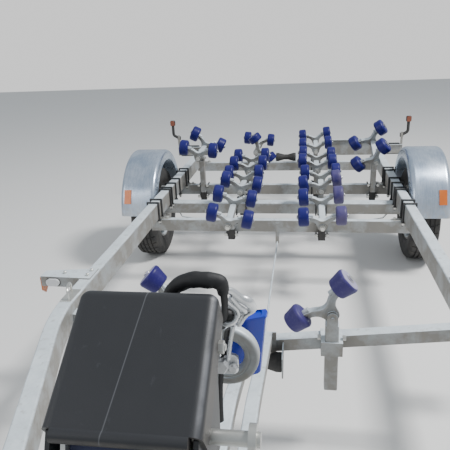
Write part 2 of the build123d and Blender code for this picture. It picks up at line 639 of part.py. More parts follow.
def bow_sleeve(x):
    """Welded sleeve that holds a bow post ahead of the bow crossbeam, with two straps over the beam."""
    half = BOW_POST_SIZE / 2
    wide = half + BOW_SLEEVE_WALL
    front = BOW_POST_Y - half
    top = BOW_CROSS_END_TOP - BOW_CROSS_DROP * (1 - abs(x) / BEAM_INNER_X) + BOW_SLEEVE_RISE
    bottom = top - BOW_CROSS_SIZE - BOW_SLEEVE_RISE
    sleeve = box_between(x - wide, x + wide, front - BOW_EAR, BOW_CROSS_Y + BOW_CROSS_SIZE / 2, bottom, top)
    sleeve -= box_between(x - half, x + half, front, BOW_CROSS_Y + BOW_CROSS_SIZE, bottom - 1, top + 1)
    return sleeve - bow_crossbeam()


def bow_post(x):
    """Square tube post on the front of the bow crossbeam, with two ears and the fork's pivot pin."""
    half = BOW_POST_SIZE / 2
    y = BOW_POST_Y
    top = BOW_PIVOT_Z - FORK_BOSS_RADIUS - 11
    section = hollow_section(BOW_POST_SIZE, BOW_POST_SIZE, POST_WALL, POST_CORNER)
    post = Pos(x, y, BOW_POST_BOTTOM) * extrude(section, top - BOW_POST_BOTTOM)
    post += box_between(x - half + 2, x + half - 2, y - half + 2, y + half - 2, top - CLAMP_SHEET, top)
    for near in (y - half, y + half - BOW_EAR):
        post += box_between(x - BOW_EAR_RADIUS, x + BOW_EAR_RADIUS, near, near + BOW_EAR, top - 4, BOW_PIVOT_Z)
        post += rod((x, near, BOW_PIVOT_Z), (x, near + BOW_EAR, BOW_PIVOT_Z), BOW_EAR_RADIUS)
    return post + rod((x, y - half - 9, BOW_PIVOT_Z), (x, y + half, BOW_PIVOT_Z), PIN_RADIUS)


def bow_fork():
    """A single fork with a bored boss, about its bolt at the origin."""
    solid = fork(BOW_ROLLER_X - BOW_ROLLER_WIDTH / 2)
    return solid - Rot(90, 0, 0) * Cylinder(PIN_RADIUS + RUNNING_CLEARANCE, 2 * FORK_BOSS_LENGTH)


def bow_rollers():
    """The two bell rollers of the bow fork on the +X side, about the fork's bolt."""
    return [Pos(0, 0, FORK_RISE) * bow_roller(1), Pos(0, 0, FORK_RISE) * mirror(bow_roller(-1), Plane.YZ)]


def u_bolt(x, y, width, bottom):
    """A square-topped strap bolt over a main beam."""
    r = U_BOLT_RADIUS
    top = BEAM_TOP + r
    x0, x1 = x - width / 2 - r, x + width / 2 + r
    bolt = rod((x0, y, bottom), (x0, y, top), r)
    bolt += rod((x1, y, bottom), (x1, y, top), r)
    bolt += rod((x0, y, top), (x1, y, top), r)
    return bolt + Pos(x0, y, top) * Sphere(r) + Pos(x1, y, top) * Sphere(r)


def frame_u_bolts():
    """Rows of strap bolts over the main beams, each with a strip across the beam's underside."""
    bolts = []
    reach = BEAM_WIDTH / 2 + 14
    half = CLAMP_WIDTH / 2
    for y in U_BOLT_ROWS:
        for side in (-1, 1):
            x = side * BEAM_CENTRE_X
            bolt = u_bolt(x, y, BEAM_WIDTH, U_BOLT_BOTTOM)
            strip = BEAM_BOTTOM - CLAMP_SHEET
            bolt += box_between(x - reach, x + reach, y - half, y + half, strip, BEAM_BOTTOM)
            bolts.append(bolt)
    return bolts


def keel_bracket():
    """Two side plates behind the rear crossbeam that carry the keel roller."""
    rear = REAR_CROSS_Y + CROSS_DEPTH / 2
    low, top = BEAM_BOTTOM - 70, BEAM_BOTTOM - 2
    y, z = KEEL_ROLLER_Y, KEEL_ROLLER_Z
    plates = []
    for x in (KEEL_ROLLER_X - KEEL_ROLLER_LENGTH / 2 - BRACKET_SHEET, KEEL_ROLLER_X + KEEL_ROLLER_LENGTH / 2):
        outline = [(rear, low), (rear, top), (y - 16, z + 18), (y + 16, z + 18), (y + 16, z - 14),
                   (rear + 12, low)]
        plane = Plane(origin=(x, 0, 0), x_dir=(0, 1, 0), z_dir=(1, 0, 0))
        plates.append(plane * extrude(make_face(Polyline(*outline, close=True)), BRACKET_SHEET))
    return plates


def bow_keel_bracket():
    """Two side plates ahead of the bow crossbeam that carry the bow keel roller."""
    face = BOW_CROSS_Y - BOW_CROSS_SIZE / 2
    front = BOW_KEEL_ROLLER_Y - KEEL_ROLLER_END - 8
    top, low = BOW_KEEL_ROLLER_Z + 56, BOW_KEEL_ROLLER_Z - 52
    outline = [(face, top), (front + 14, top), (front, top - 14), (front, low + 14), (front + 14, low),
               (face, low + 60)]
    plates = []
    for x in (-KEEL_ROLLER_LENGTH / 2 - BRACKET_SHEET, KEEL_ROLLER_LENGTH / 2):
        plane = Plane(origin=(x, 0, 0), x_dir=(0, 1, 0), z_dir=(1, 0, 0))
        plates.append(plane * extrude(make_face(Polyline(*outline, close=True)), BRACKET_SHEET))
    return plates


def keel_roller(x, y, z):
    """Waisted rubber roller between two bracket plates."""
    half = KEEL_ROLLER_LENGTH / 2
    end, waist = KEEL_ROLLER_END, KEEL_ROLLER_WAIST
    side = [(half, 0), (half, end - 4), (half - 4, end), (half - 22, end), (28, waist + 3), (16, waist)]
    points = side + [(-px, radius) for px, radius in reversed(side)]
    return revolve_x(points, x, y, z)


def lamp_bracket():
    """Front side-lamp bracket on the +X beam: tapered plate with a turned-down front flange."""
    top = BEAM_TOP + BRACKET_SHEET
    low = top - LAMP_BRACKET_DROP
    inner, outer, front = LAMP_BRACKET_INNER_X, LAMP_BRACKET_OUTER_X, LAMP_BRACKET_FRONT_Y
    outline = [(inner, front), (inner, front + 108), (outer, front + 71), (outer, front + 10)]
    bracket = Pos(0, 0, BEAM_TOP) * extrude(make_face(Polyline(*outline, close=True)), BRACKET_SHEET)
    start = BEAM_OUTER_X + 2
    edge = [(start, front + 2.3), (outer, front + 10), (outer, front + 14), (start, front + 6.3)]
    bracket += Pos(0, 0, low) * extrude(make_face(Polyline(*edge, close=True)), LAMP_BRACKET_DROP)
    return bracket + box_between(outer - 4, outer, front + 10, front + 71, low, top)


def front_lamp():
    """Oval clear side lamp on the +X bracket's front flange."""
    lens = SlotOverall(FRONT_LAMP_WIDTH, FRONT_LAMP_HEIGHT)
    middle = (FRONT_LAMP_X, LAMP_BRACKET_FRONT_Y + 10, FRONT_LAMP_Z)
    face = Plane(origin=middle, x_dir=(1, 0, 0), z_dir=(0, -1, 0))
    return face * extrude(lens, FRONT_LAMP_DEPTH) - lamp_bracket()


def end_reflector():
    """Amber reflector on the +X bracket's outer end, pointed at its foot."""
    outline = make_face(Polyline((95, 556), (145, 556), (145, 492), (120, 470), (95, 492), close=True))
    plane = Plane(origin=(LAMP_BRACKET_OUTER_X, 0, 0), x_dir=(0, 1, 0), z_dir=(1, 0, 0))
    return plane * extrude(outline, END_REFLECTOR_DEPTH)


def fender_reflector():
    """Amber reflector on the outer half of the +X fender's front."""
    angle = math.radians(FENDER_REFLECTOR_ANGLE)
    y = WHEEL_Y - FENDER_RADIUS * math.sin(angle)
    z = FENDER_CENTRE_Z + FENDER_RADIUS * math.cos(angle)
    plate = Pos(0, 0, 3) * Box(FENDER_REFLECTOR_WIDTH, FENDER_REFLECTOR_LENGTH, 8)
    return Pos(FENDER_REFLECTOR_X, y, z) * Rot(FENDER_REFLECTOR_ANGLE, 0, 0) * plate - fender()


def rear_arm(side):
    """Plate on the outside of a main beam that carries the lamp bar."""
    face = side * BEAM_OUTER_X
    return box_between(face, face + side * REAR_ARM_SHEET, REAR_ARM_Y, LAMP_BAR_Y, REAR_ARM_LOW, REAR_ARM_TOP)


def lamp_bars():
    """Number-plate panel and the two lamp bars behind the frame, with their arms and marker strips."""
    back = LAMP_BAR_Y + LAMP_BAR_SHEET
    lip = LAMP_BAR_Y - LAMP_BAR_LIP
    panel = box_between(PANEL_INNER_X, PANEL_OUTER_X, LAMP_BAR_Y, back, PANEL_LOW, PANEL_TOP)
    edge = LAMP_BAR_Y - PANEL_LIP
    panel += box_between(PANEL_INNER_X, PANEL_OUTER_X, edge, back, PANEL_TOP - LAMP_BAR_SHEET, PANEL_TOP)
    panel += box_between(PANEL_INNER_X, PANEL_INNER_X + LAMP_BAR_SHEET, edge, LAMP_BAR_Y, PANEL_LOW, PANEL_TOP)
    bars = []
    for side, inner in ((1, PANEL_OUTER_X), (-1, LEFT_BAR_INNER_X)):
        start, end = side * inner, side * LAMP_BAR_OUTER_X
        bar = box_between(start, end, LAMP_BAR_Y, back, LAMP_BAR_LOW, LAMP_BAR_TOP)
        bar += box_between(start, end, lip, back, LAMP_BAR_TOP - LAMP_BAR_SHEET, LAMP_BAR_TOP)
        strip = side * MARKER_STRIP_X
        half = MARKER_STRIP_WIDTH / 2
        bar += box_between(strip - half, strip + half, LAMP_BAR_Y - LAMP_BAR_SHEET, LAMP_BAR_Y,
                           MARKER_STRIP_LOW, MARKER_STRIP_TOP)
        bar += rear_arm(side)
        bars.append(bar)
    bars[0] += panel
    return bars


def marker_arm():
    """Curved rubber arm of the +X side marker, with its foot on the marker strip."""
    x = MARKER_STRIP_X
    low = MARKER_STRIP_TOP - 30
    route = FilletPolyline((x, low), (MARKER_X, low + 27), (MARKER_X, MARKER_LOW), radius=30)
    plane = Plane(origin=(0, LAMP_BAR_Y + 14, 0), x_dir=(1, 0, 0), z_dir=(0, -1, 0))
    path = plane * route
    start = Plane(origin=path @ 0, z_dir=path % 0)
    arm = sweep(start * Circle(MARKER_ARM_RADIUS), path=path)
    return arm + box_between(x - 14, x + 14, LAMP_BAR_Y, LAMP_BAR_Y + 24, low - 17, low + 17)


def marker_lamp():
    """Side marker lamp on top of the +X arm."""
    half = MARKER_WIDTH / 2
    front = LAMP_BAR_Y - 12
    back, top = front + MARKER_LENGTH, MARKER_LOW + MARKER_HEIGHT
    return box_between(MARKER_X - half, MARKER_X + half, front, back, MARKER_LOW, top)


def rear_lamp():
    """Rear lamp behind the +X lamp bar."""
    return box_between(REAR_LAMP_INNER_X, REAR_LAMP_OUTER_X, LAMP_BAR_Y + LAMP_BAR_SHEET, REAR_Y,
                       REAR_LAMP_LOW, REAR_LAMP_TOP)


def winch_rails():
    """Twin rails of the winch stand with two cross bars, and their end plate on the bow crossbeam."""
    level = BEAM_TOP + RAIL_SIZE / 2
    hollow = hollow_section(RAIL_SIZE, RAIL_SIZE, RAIL_WALL, POST_CORNER)
    plate_y = BOW_CROSS_Y - BOW_CROSS_SIZE / 2 - STAND_PLATE
    pieces = []
    for x in (-RAIL_X, RAIL_X):
        route = FilletPolyline((x, RAIL_FRONT_Y, level), (x, RAIL_BEND_Y, level), (x, plate_y + 60, RAIL_END_Z),
                               radius=RAIL_BEND_RADIUS)
        start = Plane(origin=route @ 0, x_dir=(1, 0, 0), z_dir=route % 0)
        rail = sweep(start * hollow, path=route)
        rail -= box_between(x - 30, x + 30, plate_y, plate_y + 200, 300, 600)
        pieces.append(rail)
    pieces.append(box_between(-END_PLATE_HALF, END_PLATE_HALF, plate_y, plate_y + STAND_PLATE,
                              END_PLATE_LOW, END_PLATE_TOP))
    half = RAIL_SIZE / 2
    for y in RAIL_CROSS_ROWS:
        near, far = beam_inner_x(y - half), beam_inner_x(y + half)
        outline = Polyline((-near, y - half), (near, y - half), (far, y + half), (-far, y + half), close=True)
        pieces.append(Pos(0, 0, BEAM_TOP - RAIL_SIZE) * extrude(make_face(outline), RAIL_SIZE))
    return pieces


def winch_post():
    """Square post on the rails, with its foot plate, brace, head plate and the arm to the bow block."""
    foot = BEAM_TOP + RAIL_SIZE
    foot_half = RAIL_X + RAIL_SIZE / 2
    y = WINCH_POST_Y
    plate = foot + STAND_PLATE
    post = box_between(-foot_half, foot_half, y - FOOT_HALF_LENGTH, y + FOOT_HALF_LENGTH, foot, plate)
    tube = RectangleRounded(POST_TUBE, POST_TUBE, BEAM_CORNER)
    post += Pos(0, y, plate) * extrude(tube, WINCH_BASE_Z - plate)
    brace_foot = (0, y + BRACE_REACH, foot + BRACE_SIZE / 2)
    post += bar_along((0, y + 20, BRACE_TOP_Z), brace_foot, BRACE_SIZE, BRACE_SIZE)
    post -= box_between(-50, 50, y, y + 500, foot - 60, foot)
    half = HEAD_ARM_SIZE / 2
    head = BOW_BLOCK_Y - STAND_PLATE
    arm_top = WINCH_BASE_Z - 6
    post += box_between(-half, half, y + POST_TUBE / 2 - 2, head, arm_top - HEAD_ARM_SIZE, arm_top)
    post += box_between(-HEAD_PLATE_HALF, HEAD_PLATE_HALF, head, BOW_BLOCK_Y, HEAD_PLATE_LOW, BOW_BLOCK_TOP)
    return post + strap_ring()


def strap_ring():
    """Thick ring with rounded edges on the head plate, beside the bow block."""
    middle = (RING_OUTER + RING_HOLE) / 2
    section = Pos(middle, 0) * RectangleRounded(RING_OUTER - RING_HOLE, RING_DEPTH, 5)
    ring = revolve(section, axis=Axis.Y)
    return Pos(RING_X, BOW_BLOCK_Y - STAND_PLATE - RING_DEPTH / 2, RING_Z) * ring


def winch_frame():
    """Base plate and two side plates, bored for the drum's shaft."""
    half = WINCH_SIDE_X + WINCH_PLATE
    near, far = WINCH_SHAFT_Y - WINCH_SIDE_REACH, WINCH_SHAFT_Y + WINCH_SIDE_REACH
    base, top = WINCH_BASE_Z, WINCH_SIDE_TOP
    frame = box_between(-half, half, near, far, base, base + 6)
    outline = [(near, base + 3), (far, base + 3), (far + 8, top), (far - 22, top), (near + 18, top - 52),
               (near + 4, top - 80)]
    for x in (-half, WINCH_SIDE_X):
        plane = Plane(origin=(x, 0, 0), x_dir=(0, 1, 0), z_dir=(1, 0, 0))
        frame += plane * extrude(make_face(Polyline(*outline, close=True)), WINCH_PLATE)
    bore = SHAFT_RADIUS + RUNNING_CLEARANCE
    return frame - cylinder_x(-half - 1, half + 1, WINCH_SHAFT_Y, WINCH_SHAFT_Z, bore)


def hood_block(inset, longer):
    """Rounded block on the hood's slope: top, sides and far end moved in by inset, near end out by longer."""
    run, rise = HOOD_FAR_Y - HOOD_NEAR_Y, HOOD_FAR_Z - HOOD_NEAR_Z
    length = math.hypot(run, rise) - inset + longer
    block = Pos(0, -length / 2, -HOOD_DEPTH / 2) * Box(HOOD_WIDTH - 2 * inset, length, HOOD_DEPTH)
    near_face = block.faces().sort_by(Axis.Y)[0]
    upper = block.faces().sort_by(Axis.Z)[-1].edges()
    upright = block.edges().filter_by(Axis.Z)
    kept = near_face.edges()
    rounded = [edge for edge in upper + upright if edge not in kept]
    block = fillet(rounded, HOOD_EDGE - inset)
    slope = Rot(math.degrees(math.atan2(rise, run)), 0, 0)
    return Pos(0, HOOD_FAR_Y, HOOD_FAR_Z) * slope * Pos(0, -inset, -inset) * block


def winch_cover():
    """Moulded hood over the drum: sloping, open below, with rounded edges and a rolled near lip."""
    cover = hood_block(0, 0) - hood_block(HOOD_SHEET, HOOD_DEPTH)
    edge = HOOD_WIDTH / 2 - HOOD_EDGE
    return cover + cylinder_x(-edge, edge, HOOD_NEAR_Y, HOOD_NEAR_Z - HOOD_LIP_RADIUS, HOOD_LIP_RADIUS)


def winch_drum():
    """Shaft, core and two flanges, turned about the shaft, with the crank and its grip."""
    x = STRAP_WIDTH / 2
    outside = x + DRUM_FLANGE
    crank_end = CRANK_X + CRANK_SHEET
    shaft, flange = SHAFT_RADIUS, FLANGE_RADIUS
    points = [(SHAFT_FAR_X, 0), (SHAFT_FAR_X, shaft), (-outside, shaft), (-outside, flange), (-x, flange),
              (-x, DRUM_RADIUS), (x, DRUM_RADIUS), (x, flange), (outside, flange), (outside, shaft),
              (crank_end + 4, shaft), (crank_end + 4, 0)]
    y, z = WINCH_SHAFT_Y, WINCH_SHAFT_Z
    drum = revolve_x(points, 0, y, z)
    grip_z = z - CRANK_LENGTH
    drum += box_between(CRANK_X, crank_end, y - CRANK_HALF, y + CRANK_HALF, grip_z, z)
    drum += cylinder_x(CRANK_X, crank_end, y, z, CRANK_HALF + 2)
    drum += cylinder_x(CRANK_X, crank_end, y, grip_z, CRANK_HALF)
    return drum + cylinder_x(crank_end, crank_end + GRIP_LENGTH, y, grip_z, GRIP_RADIUS)


def strap_roll():
    """Webbing wound on the drum."""
    x = STRAP_WIDTH / 2
    points = [(-x, DRUM_RADIUS + 0.3), (-x, STRAP_ROLL_RADIUS), (x, STRAP_ROLL_RADIUS), (x, DRUM_RADIUS + 0.3)]
    return revolve_x(points, 0, WINCH_SHAFT_Y, WINCH_SHAFT_Z)


def winch_strap():
    """Sleeved free end of the strap, from the roll up behind the hood and over to its hook on the right."""
    y = WINCH_SHAFT_Y
    route = Spline((-14, y + 54, 1180), (-6, y + 96, 1236), (16, y + 104, 1290), (52, y + 106, 1309),
                   (84, y + 110, 1288), (88, y + 122, 1262))
    start = Plane(origin=route @ 0, x_dir=(1, 0, 0), z_dir=route % 0)
    section = RectangleRounded(SLEEVE_WIDTH, SLEEVE_THICKNESS, 5)
    return sweep(start * section, path=route) - winch_cover()


def bow_block():
    """V-shaped bow stop: a notched block with flared wings."""
    y = BOW_BLOCK_Y
    half, wing = BOW_BLOCK_HALF, BOW_WING_X
    tip = y + BOW_WING_REACH
    root = tip - BOW_WING_SHEET
    plan = make_face(Polyline((-half, y), (half, y), (wing, root), (wing, tip), (0, y + BOW_NOTCH),
                              (-wing, tip), (-wing, root), close=True))
    plan = fillet(plan.vertices(), 7)
    low, top = BOW_BLOCK_LOW, BOW_BLOCK_TOP
    block = Pos(0, 0, low) * extrude(plan, top - low)
    block = fillet(block.faces().sort_by(Axis.Z)[-1].edges(), 5)
    foot = wing - BOW_WING_TAPER
    front = make_face(Polyline((-foot, low), (foot, low), (wing, top), (-wing, top), close=True))
    plane = Plane(origin=(0, y + 100, 0), x_dir=(1, 0, 0), z_dir=(0, -1, 0))
    return block & (plane * extrude(front, 140))


def overrun_housing():
    """Cast overrun housing between the beams' noses, with the plates that tie them."""
    half = HOUSING_HALF
    housing = box_between(-half, half, HOUSING_FRONT_Y, HOUSING_REAR_Y, BEAM_BOTTOM, BEAM_TOP)
    nose_end = HOUSING_FRONT_Y + 10
    housing += rod((0, HOUSING_NOSE_Y, DRAWBAR_AXIS_Z), (0, nose_end, DRAWBAR_AXIS_Z), HOUSING_NOSE_RADIUS)
    near, far = TIE_PLATE_FRONT_HALF, TIE_PLATE_REAR_HALF
    front, rear = TIE_PLATE_FRONT_Y, TIE_PLATE_REAR_Y
    plan = make_face(Polyline((-near, front), (near, front), (far, rear), (-far, rear), close=True))
    housing += Pos(0, 0, BEAM_TOP) * extrude(plan, TIE_PLATE_SHEET)
    return housing + Pos(0, 0, BEAM_BOTTOM - TIE_PLATE_SHEET) * extrude(plan, TIE_PLATE_SHEET)


def overrun_bellows():
    """Rubber bellows over the draw tube, from the coupling to the housing's nose."""
    length = HOUSING_NOSE_Y - BELLOWS_FRONT_Y
    fold = length / BELLOWS_FOLDS
    bore = DRAW_TUBE_RADIUS + RUNNING_CLEARANCE
    points = [(0, bore), (0, BELLOWS_END)]
    for k in range(BELLOWS_FOLDS):
        points += [((k + 0.5) * fold, BELLOWS_CREST), ((k + 1) * fold, BELLOWS_VALLEY)]
    points = points[:-1] + [(length, BELLOWS_END), (length, bore)]
    face = make_face(Polyline(*points, close=True))
    start = (0, BELLOWS_FRONT_Y, DRAWBAR_AXIS_Z)
    plane = Plane(origin=start, x_dir=(0, 1, 0), z_dir=(1, 0, 0))
    return revolve(plane * face, axis=Axis(start, (0, 1, 0)))


def coupling_head():
    """Ball coupling with its socket open below, its release handle and the draw tube behind it."""
    from_below = (Align.CENTER, Align.CENTER, Align.MIN)
    low, top, half = HEAD_LOW, HEAD_TOP, HEAD_RADIUS
    head = Pos(0, BALL_Y, low) * Cylinder(half, top - low, align=from_below)
    neck = BALL_Y + 45
    head += box_between(-half, half, BALL_Y, neck, low, top)
    head += box_between(-half + 8, half - 8, neck - 10, BELLOWS_FRONT_Y, low + 2, top + 8)
    axis_z = DRAWBAR_AXIS_Z
    head += rod((0, BELLOWS_FRONT_Y - 10, axis_z), (0, HOUSING_NOSE_Y, axis_z), DRAW_TUBE_RADIUS)
    head += box_between(-half / 2, half / 2, NOSE_Y, BALL_Y, top - half, top)
    head += bar_along((0, BALL_Y + 55, top + 8), (0, BALL_Y - 15, top + half), 30, 12)
    head += box_between(-15, 15, neck, neck + 40, top - 8, top + 14)
    head -= Pos(0, BALL_Y, low - 8) * Cylinder(BALL_RADIUS, BALL_Z - low + 8, align=from_below)
    return head - Pos(0, BALL_Y, BALL_Z) * Sphere(BALL_RADIUS)


def handbrake_lever():
    """Parking brake lever on the housing's right side."""
    x = LEVER_X
    lever = bar_along((x, *LEVER_PIVOT), (x, *LEVER_TIP), 10, 26)
    lever += cylinder_x(HOUSING_HALF, x + 8, *LEVER_PIVOT, 22)
    grip_start, grip_end = LEVER_GRIP
    return lever + rod((x, *grip_start), (x, *grip_end), LEVER_GRIP_RADIUS)


def brake_linkage():
    """Brake rod under the frame, its hangers and equaliser, and the two cables to the backplates."""
    rod_z = BRAKE_ROD_Z
    bar_y = EQUALISER_Y
    leaves = HOUSING_REAR_Y
    route = [(0, leaves, 480), (0, leaves + 30, 480), (0, leaves + 180, rod_z), (0, bar_y + 2, rod_z)]
    pieces = bent_rod(route, BRAKE_ROD_RADIUS)
    pieces += box_between(-EQUALISER_HALF, EQUALISER_HALF, bar_y - 6, bar_y + 6, rod_z - 7, rod_z + 7)
    front_face = FRONT_CROSS_Y - CROSS_DEPTH / 2
    rail_bar = RAIL_CROSS_ROWS[1] - RAIL_SIZE / 2
    for face, top in ((front_face, BEAM_BOTTOM - 18), (rail_bar, BEAM_TOP - 4)):
        pieces += box_between(-HANGER_HALF, HANGER_HALF, face - HANGER_SHEET, face, rod_z - 8, top)
    cable_y, cable_z = AXLE_Y + 94, 352
    for side in (-1, 1):
        cable = [(60, bar_y, rod_z), (300, bar_y + 42, rod_z), (690, bar_y + 62, cable_z + 2),
                 (724, AXLE_Y + 20, cable_z), (740, cable_y, cable_z), (ARM_INNER_X, cable_y, cable_z)]
        pieces += bent_rod([(side * x, y, z) for x, y, z in cable], BRAKE_CABLE_RADIUS)
    return pieces


def jockey_outer():
    """Clamp on the drawbar's right side, outer tube, cap and crank."""
    x, y = JOCKEY_X, JOCKEY_Y
    bottom, top = JOCKEY_OUTER_BOTTOM, JOCKEY_OUTER_TOP
    outer = rod((x, y, bottom), (x, y, top), JOCKEY_OUTER_RADIUS)
    face = (x - beam_outer_x(y)) * DRAWBAR_COS
    clamp = Pos(-face / 2, 0, 0) * Box(face, JOCKEY_CLAMP_LENGTH, JOCKEY_CLAMP_HEIGHT)
    outer += Pos(x, y, JOCKEY_CLAMP_Z) * Rot(0, 0, -DRAWBAR_ANGLE) * clamp
    outer -= rod((x, y, bottom - 10), (x, y, top - JOCKEY_CAP), JOCKEY_INNER_RADIUS + RUNNING_CLEARANCE)
    crank = JOCKEY_CRANK_Z
    outer += rod((x, y, top - 2), (x, y, crank + 8), 8)
    outer += bar_along((x, y, crank), (x, y - JOCKEY_CRANK_REACH - 8, crank), 14, 8)
    grip_y = y - JOCKEY_CRANK_REACH
    return outer + rod((x, grip_y, crank), (x, grip_y, JOCKEY_GRIP_TOP), 12)


def jockey_inner():
    """Sliding tube of the jockey wheel, bored from below for the fork's kingpin."""
    x, y, crown = JOCKEY_X, JOCKEY_Y, JOCKEY_CROWN_Z
    leg = rod((x, y, crown + 1), (x, y, JOCKEY_INNER_TOP), JOCKEY_INNER_RADIUS)
    return leg - rod((x, y, crown - 12), (x, y, crown + KINGPIN_LENGTH + 4), KINGPIN_RADIUS + RUNNING_CLEARANCE)


def jockey_fork():
    """Trailing fork with its kingpin and axle."""
    x, y, crown = JOCKEY_X, JOCKEY_Y, JOCKEY_CROWN_Z
    wheel_y = y + JOCKEY_TRAIL
    front, back = y - 26, wheel_y + 18
    gap = JOCKEY_WHEEL_WIDTH / 2 + JOCKEY_FORK_GAP
    sheet = JOCKEY_FORK_SHEET
    yoke = box_between(x - gap - sheet, x + gap + sheet, front, back, crown - 6, crown)
    hub = JOCKEY_WHEEL_RADIUS
    outline = [(front, crown - 3), (back, crown - 3), (back, hub - 10), (wheel_y - 16, hub - 16)]
    for near in (x - gap - sheet, x + gap):
        plane = Plane(origin=(near, 0, 0), x_dir=(0, 1, 0), z_dir=(1, 0, 0))
        yoke += plane * extrude(make_face(Polyline(*outline, close=True)), sheet)
    yoke += cylinder_x(x - gap - 8, x + gap + 8, wheel_y, hub, 8)
    return yoke + rod((x, y, crown - 2), (x, y, crown + KINGPIN_LENGTH), KINGPIN_RADIUS)


def jockey_wheel():
    """Solid jockey wheel with dished faces, bored for the fork's axle."""
    half = JOCKEY_WHEEL_WIDTH / 2
    r = JOCKEY_WHEEL_RADIUS
    side = [(half, 8 + RUNNING_CLEARANCE), (half, 20), (8, 26), (8, 62), (half - 4, 66), (half, r - 18),
            (half - 3, r - 7), (half - 10, r)]
    points = side + [(-px, radius) for px, radius in reversed(side)]
    return revolve_x(points, JOCKEY_X, JOCKEY_Y + JOCKEY_TRAIL, r)


def write(node, solids):
    """Write one node's STEP file."""
    flat = []
    for shape in solids if isinstance(solids, list) else [solids]:
        flat += shape.solids()
    shape = flat[0] if len(flat) == 1 else Compound(children=flat)
    export_step(shape, f"parts/{node}.step")
    print(node, len(flat), [round(v) for v in (*shape.bounding_box().min, *shape.bounding_box().max)])


def write_cradles():
    """Write each cradle and its rollers where they rest."""
    for name, x, cross_y, side, depth, bolt_z, pitch, roll_front, roll_rear in CRADLES:
        y = cross_y + side * (depth + POST_SIZE) / 2
        place = Pos(x, y, bolt_z - PIVOT_DROP) * Rot(pitch, 0, 0)
        write(f"cradle_{name}", place * cradle(roll_front, roll_rear))
        write(f"rollers_{name}", [place * one for one in cradle_rollers(roll_front, roll_rear)])
    for name, x, roll in BOW_FORKS:
        place = Pos(x, BOW_POST_Y, BOW_PIVOT_Z) * Rot(0, -roll, 0)
        pair = bow_rollers() if x > 0 else [mirror(one, Plane.YZ) for one in bow_rollers()]
        write(f"fork_{name}", place * bow_fork())
        write(f"rollers_{name}", [place * one for one in pair])


def write_frame():
    """Write the nodes of the frame that stays still."""
    for name, sign in (("left", -1), ("right", 1)):
        write(f"main_beam_{name}", main_beam(sign))
    bow = bow_crossbeam() - main_beam(-1) - main_beam(1)
    sleeves = [bow_sleeve(x) for name, x, roll in BOW_FORKS]
    write("crossbeams", crossbeams() + keel_bracket() + bow_keel_bracket() + sleeves + [bow])
    write("axle", axle())
    posts, caps, clamps = [], [], []
    for name, x, cross_y, side, depth, bolt_z, pitch, front, rear in CRADLES:
        y = cross_y + side * (depth + POST_SIZE) / 2
        posts.append(cradle_post(x, y, bolt_z))
        caps.append(post_cap(x, y, side))
        clamps += post_clamp(x, y, side, depth)
    write("roller_posts", posts + [bow_post(x) for name, x, roll in BOW_FORKS])
    write("post_caps", caps)
    write("frame_u_bolts", frame_u_bolts() + clamps)
    guard = fender()
    write("fender_right", guard)
    write("fender_left", mirror(guard, Plane.YZ))
    write("lamp_brackets", both_sides(lamp_bracket()))
    write("front_lamps", both_sides(front_lamp()))
    write("amber_reflectors", both_sides(end_reflector()) + both_sides(fender_reflector()))
    write("lamp_bars", lamp_bars())
    write("marker_arms", both_sides(marker_arm()))
    write("rear_lamps", both_sides(marker_lamp()) + both_sides(rear_lamp()))
    write("keel_rollers", [keel_roller(KEEL_ROLLER_X, KEEL_ROLLER_Y, KEEL_ROLLER_Z),
                           keel_roller(0, BOW_KEEL_ROLLER_Y, BOW_KEEL_ROLLER_Z)])


def write_front():
    """Write the winch stand, the coupling and the jockey wheel."""
    write("winch_stand", winch_rails() + [winch_post()])
    write("winch_frame", winch_frame())
    write("winch_cover", winch_cover())
    write("winch_drum", winch_drum())
    write("strap_roll", strap_roll())
    write("winch_strap", winch_strap())
    write("bow_block", bow_block())
    write("overrun_housing", overrun_housing())
    write("overrun_bellows", overrun_bellows())
    write("coupling_head", coupling_head())
    write("handbrake_lever", handbrake_lever())
    write("brake_linkage", brake_linkage())
    write("jockey_outer", jockey_outer())
    write("jockey_inner", jockey_inner())
    write("jockey_fork", jockey_fork())
    write("jockey_wheel", jockey_wheel())


def write_wheels():
    for name, shape in (("tyre", tyre()), ("rim", rim())):
        write(f"{name}_right", shape)
        write(f"{name}_left", mirror(shape, Plane.YZ))


def main():
    os.makedirs("parts", exist_ok=True)
    write_frame()
    write_front()
    write_wheels()
    write_cradles()


main()
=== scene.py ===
"""Visual model of a braked boat trailer with tandem roller cradles, winch post and jockey wheel."""

import json
import logging
import math
from collections.abc import Sequence
from dataclasses import dataclass, field
from enum import Enum

import bmesh
import bpy
from mathutils import Matrix, Vector

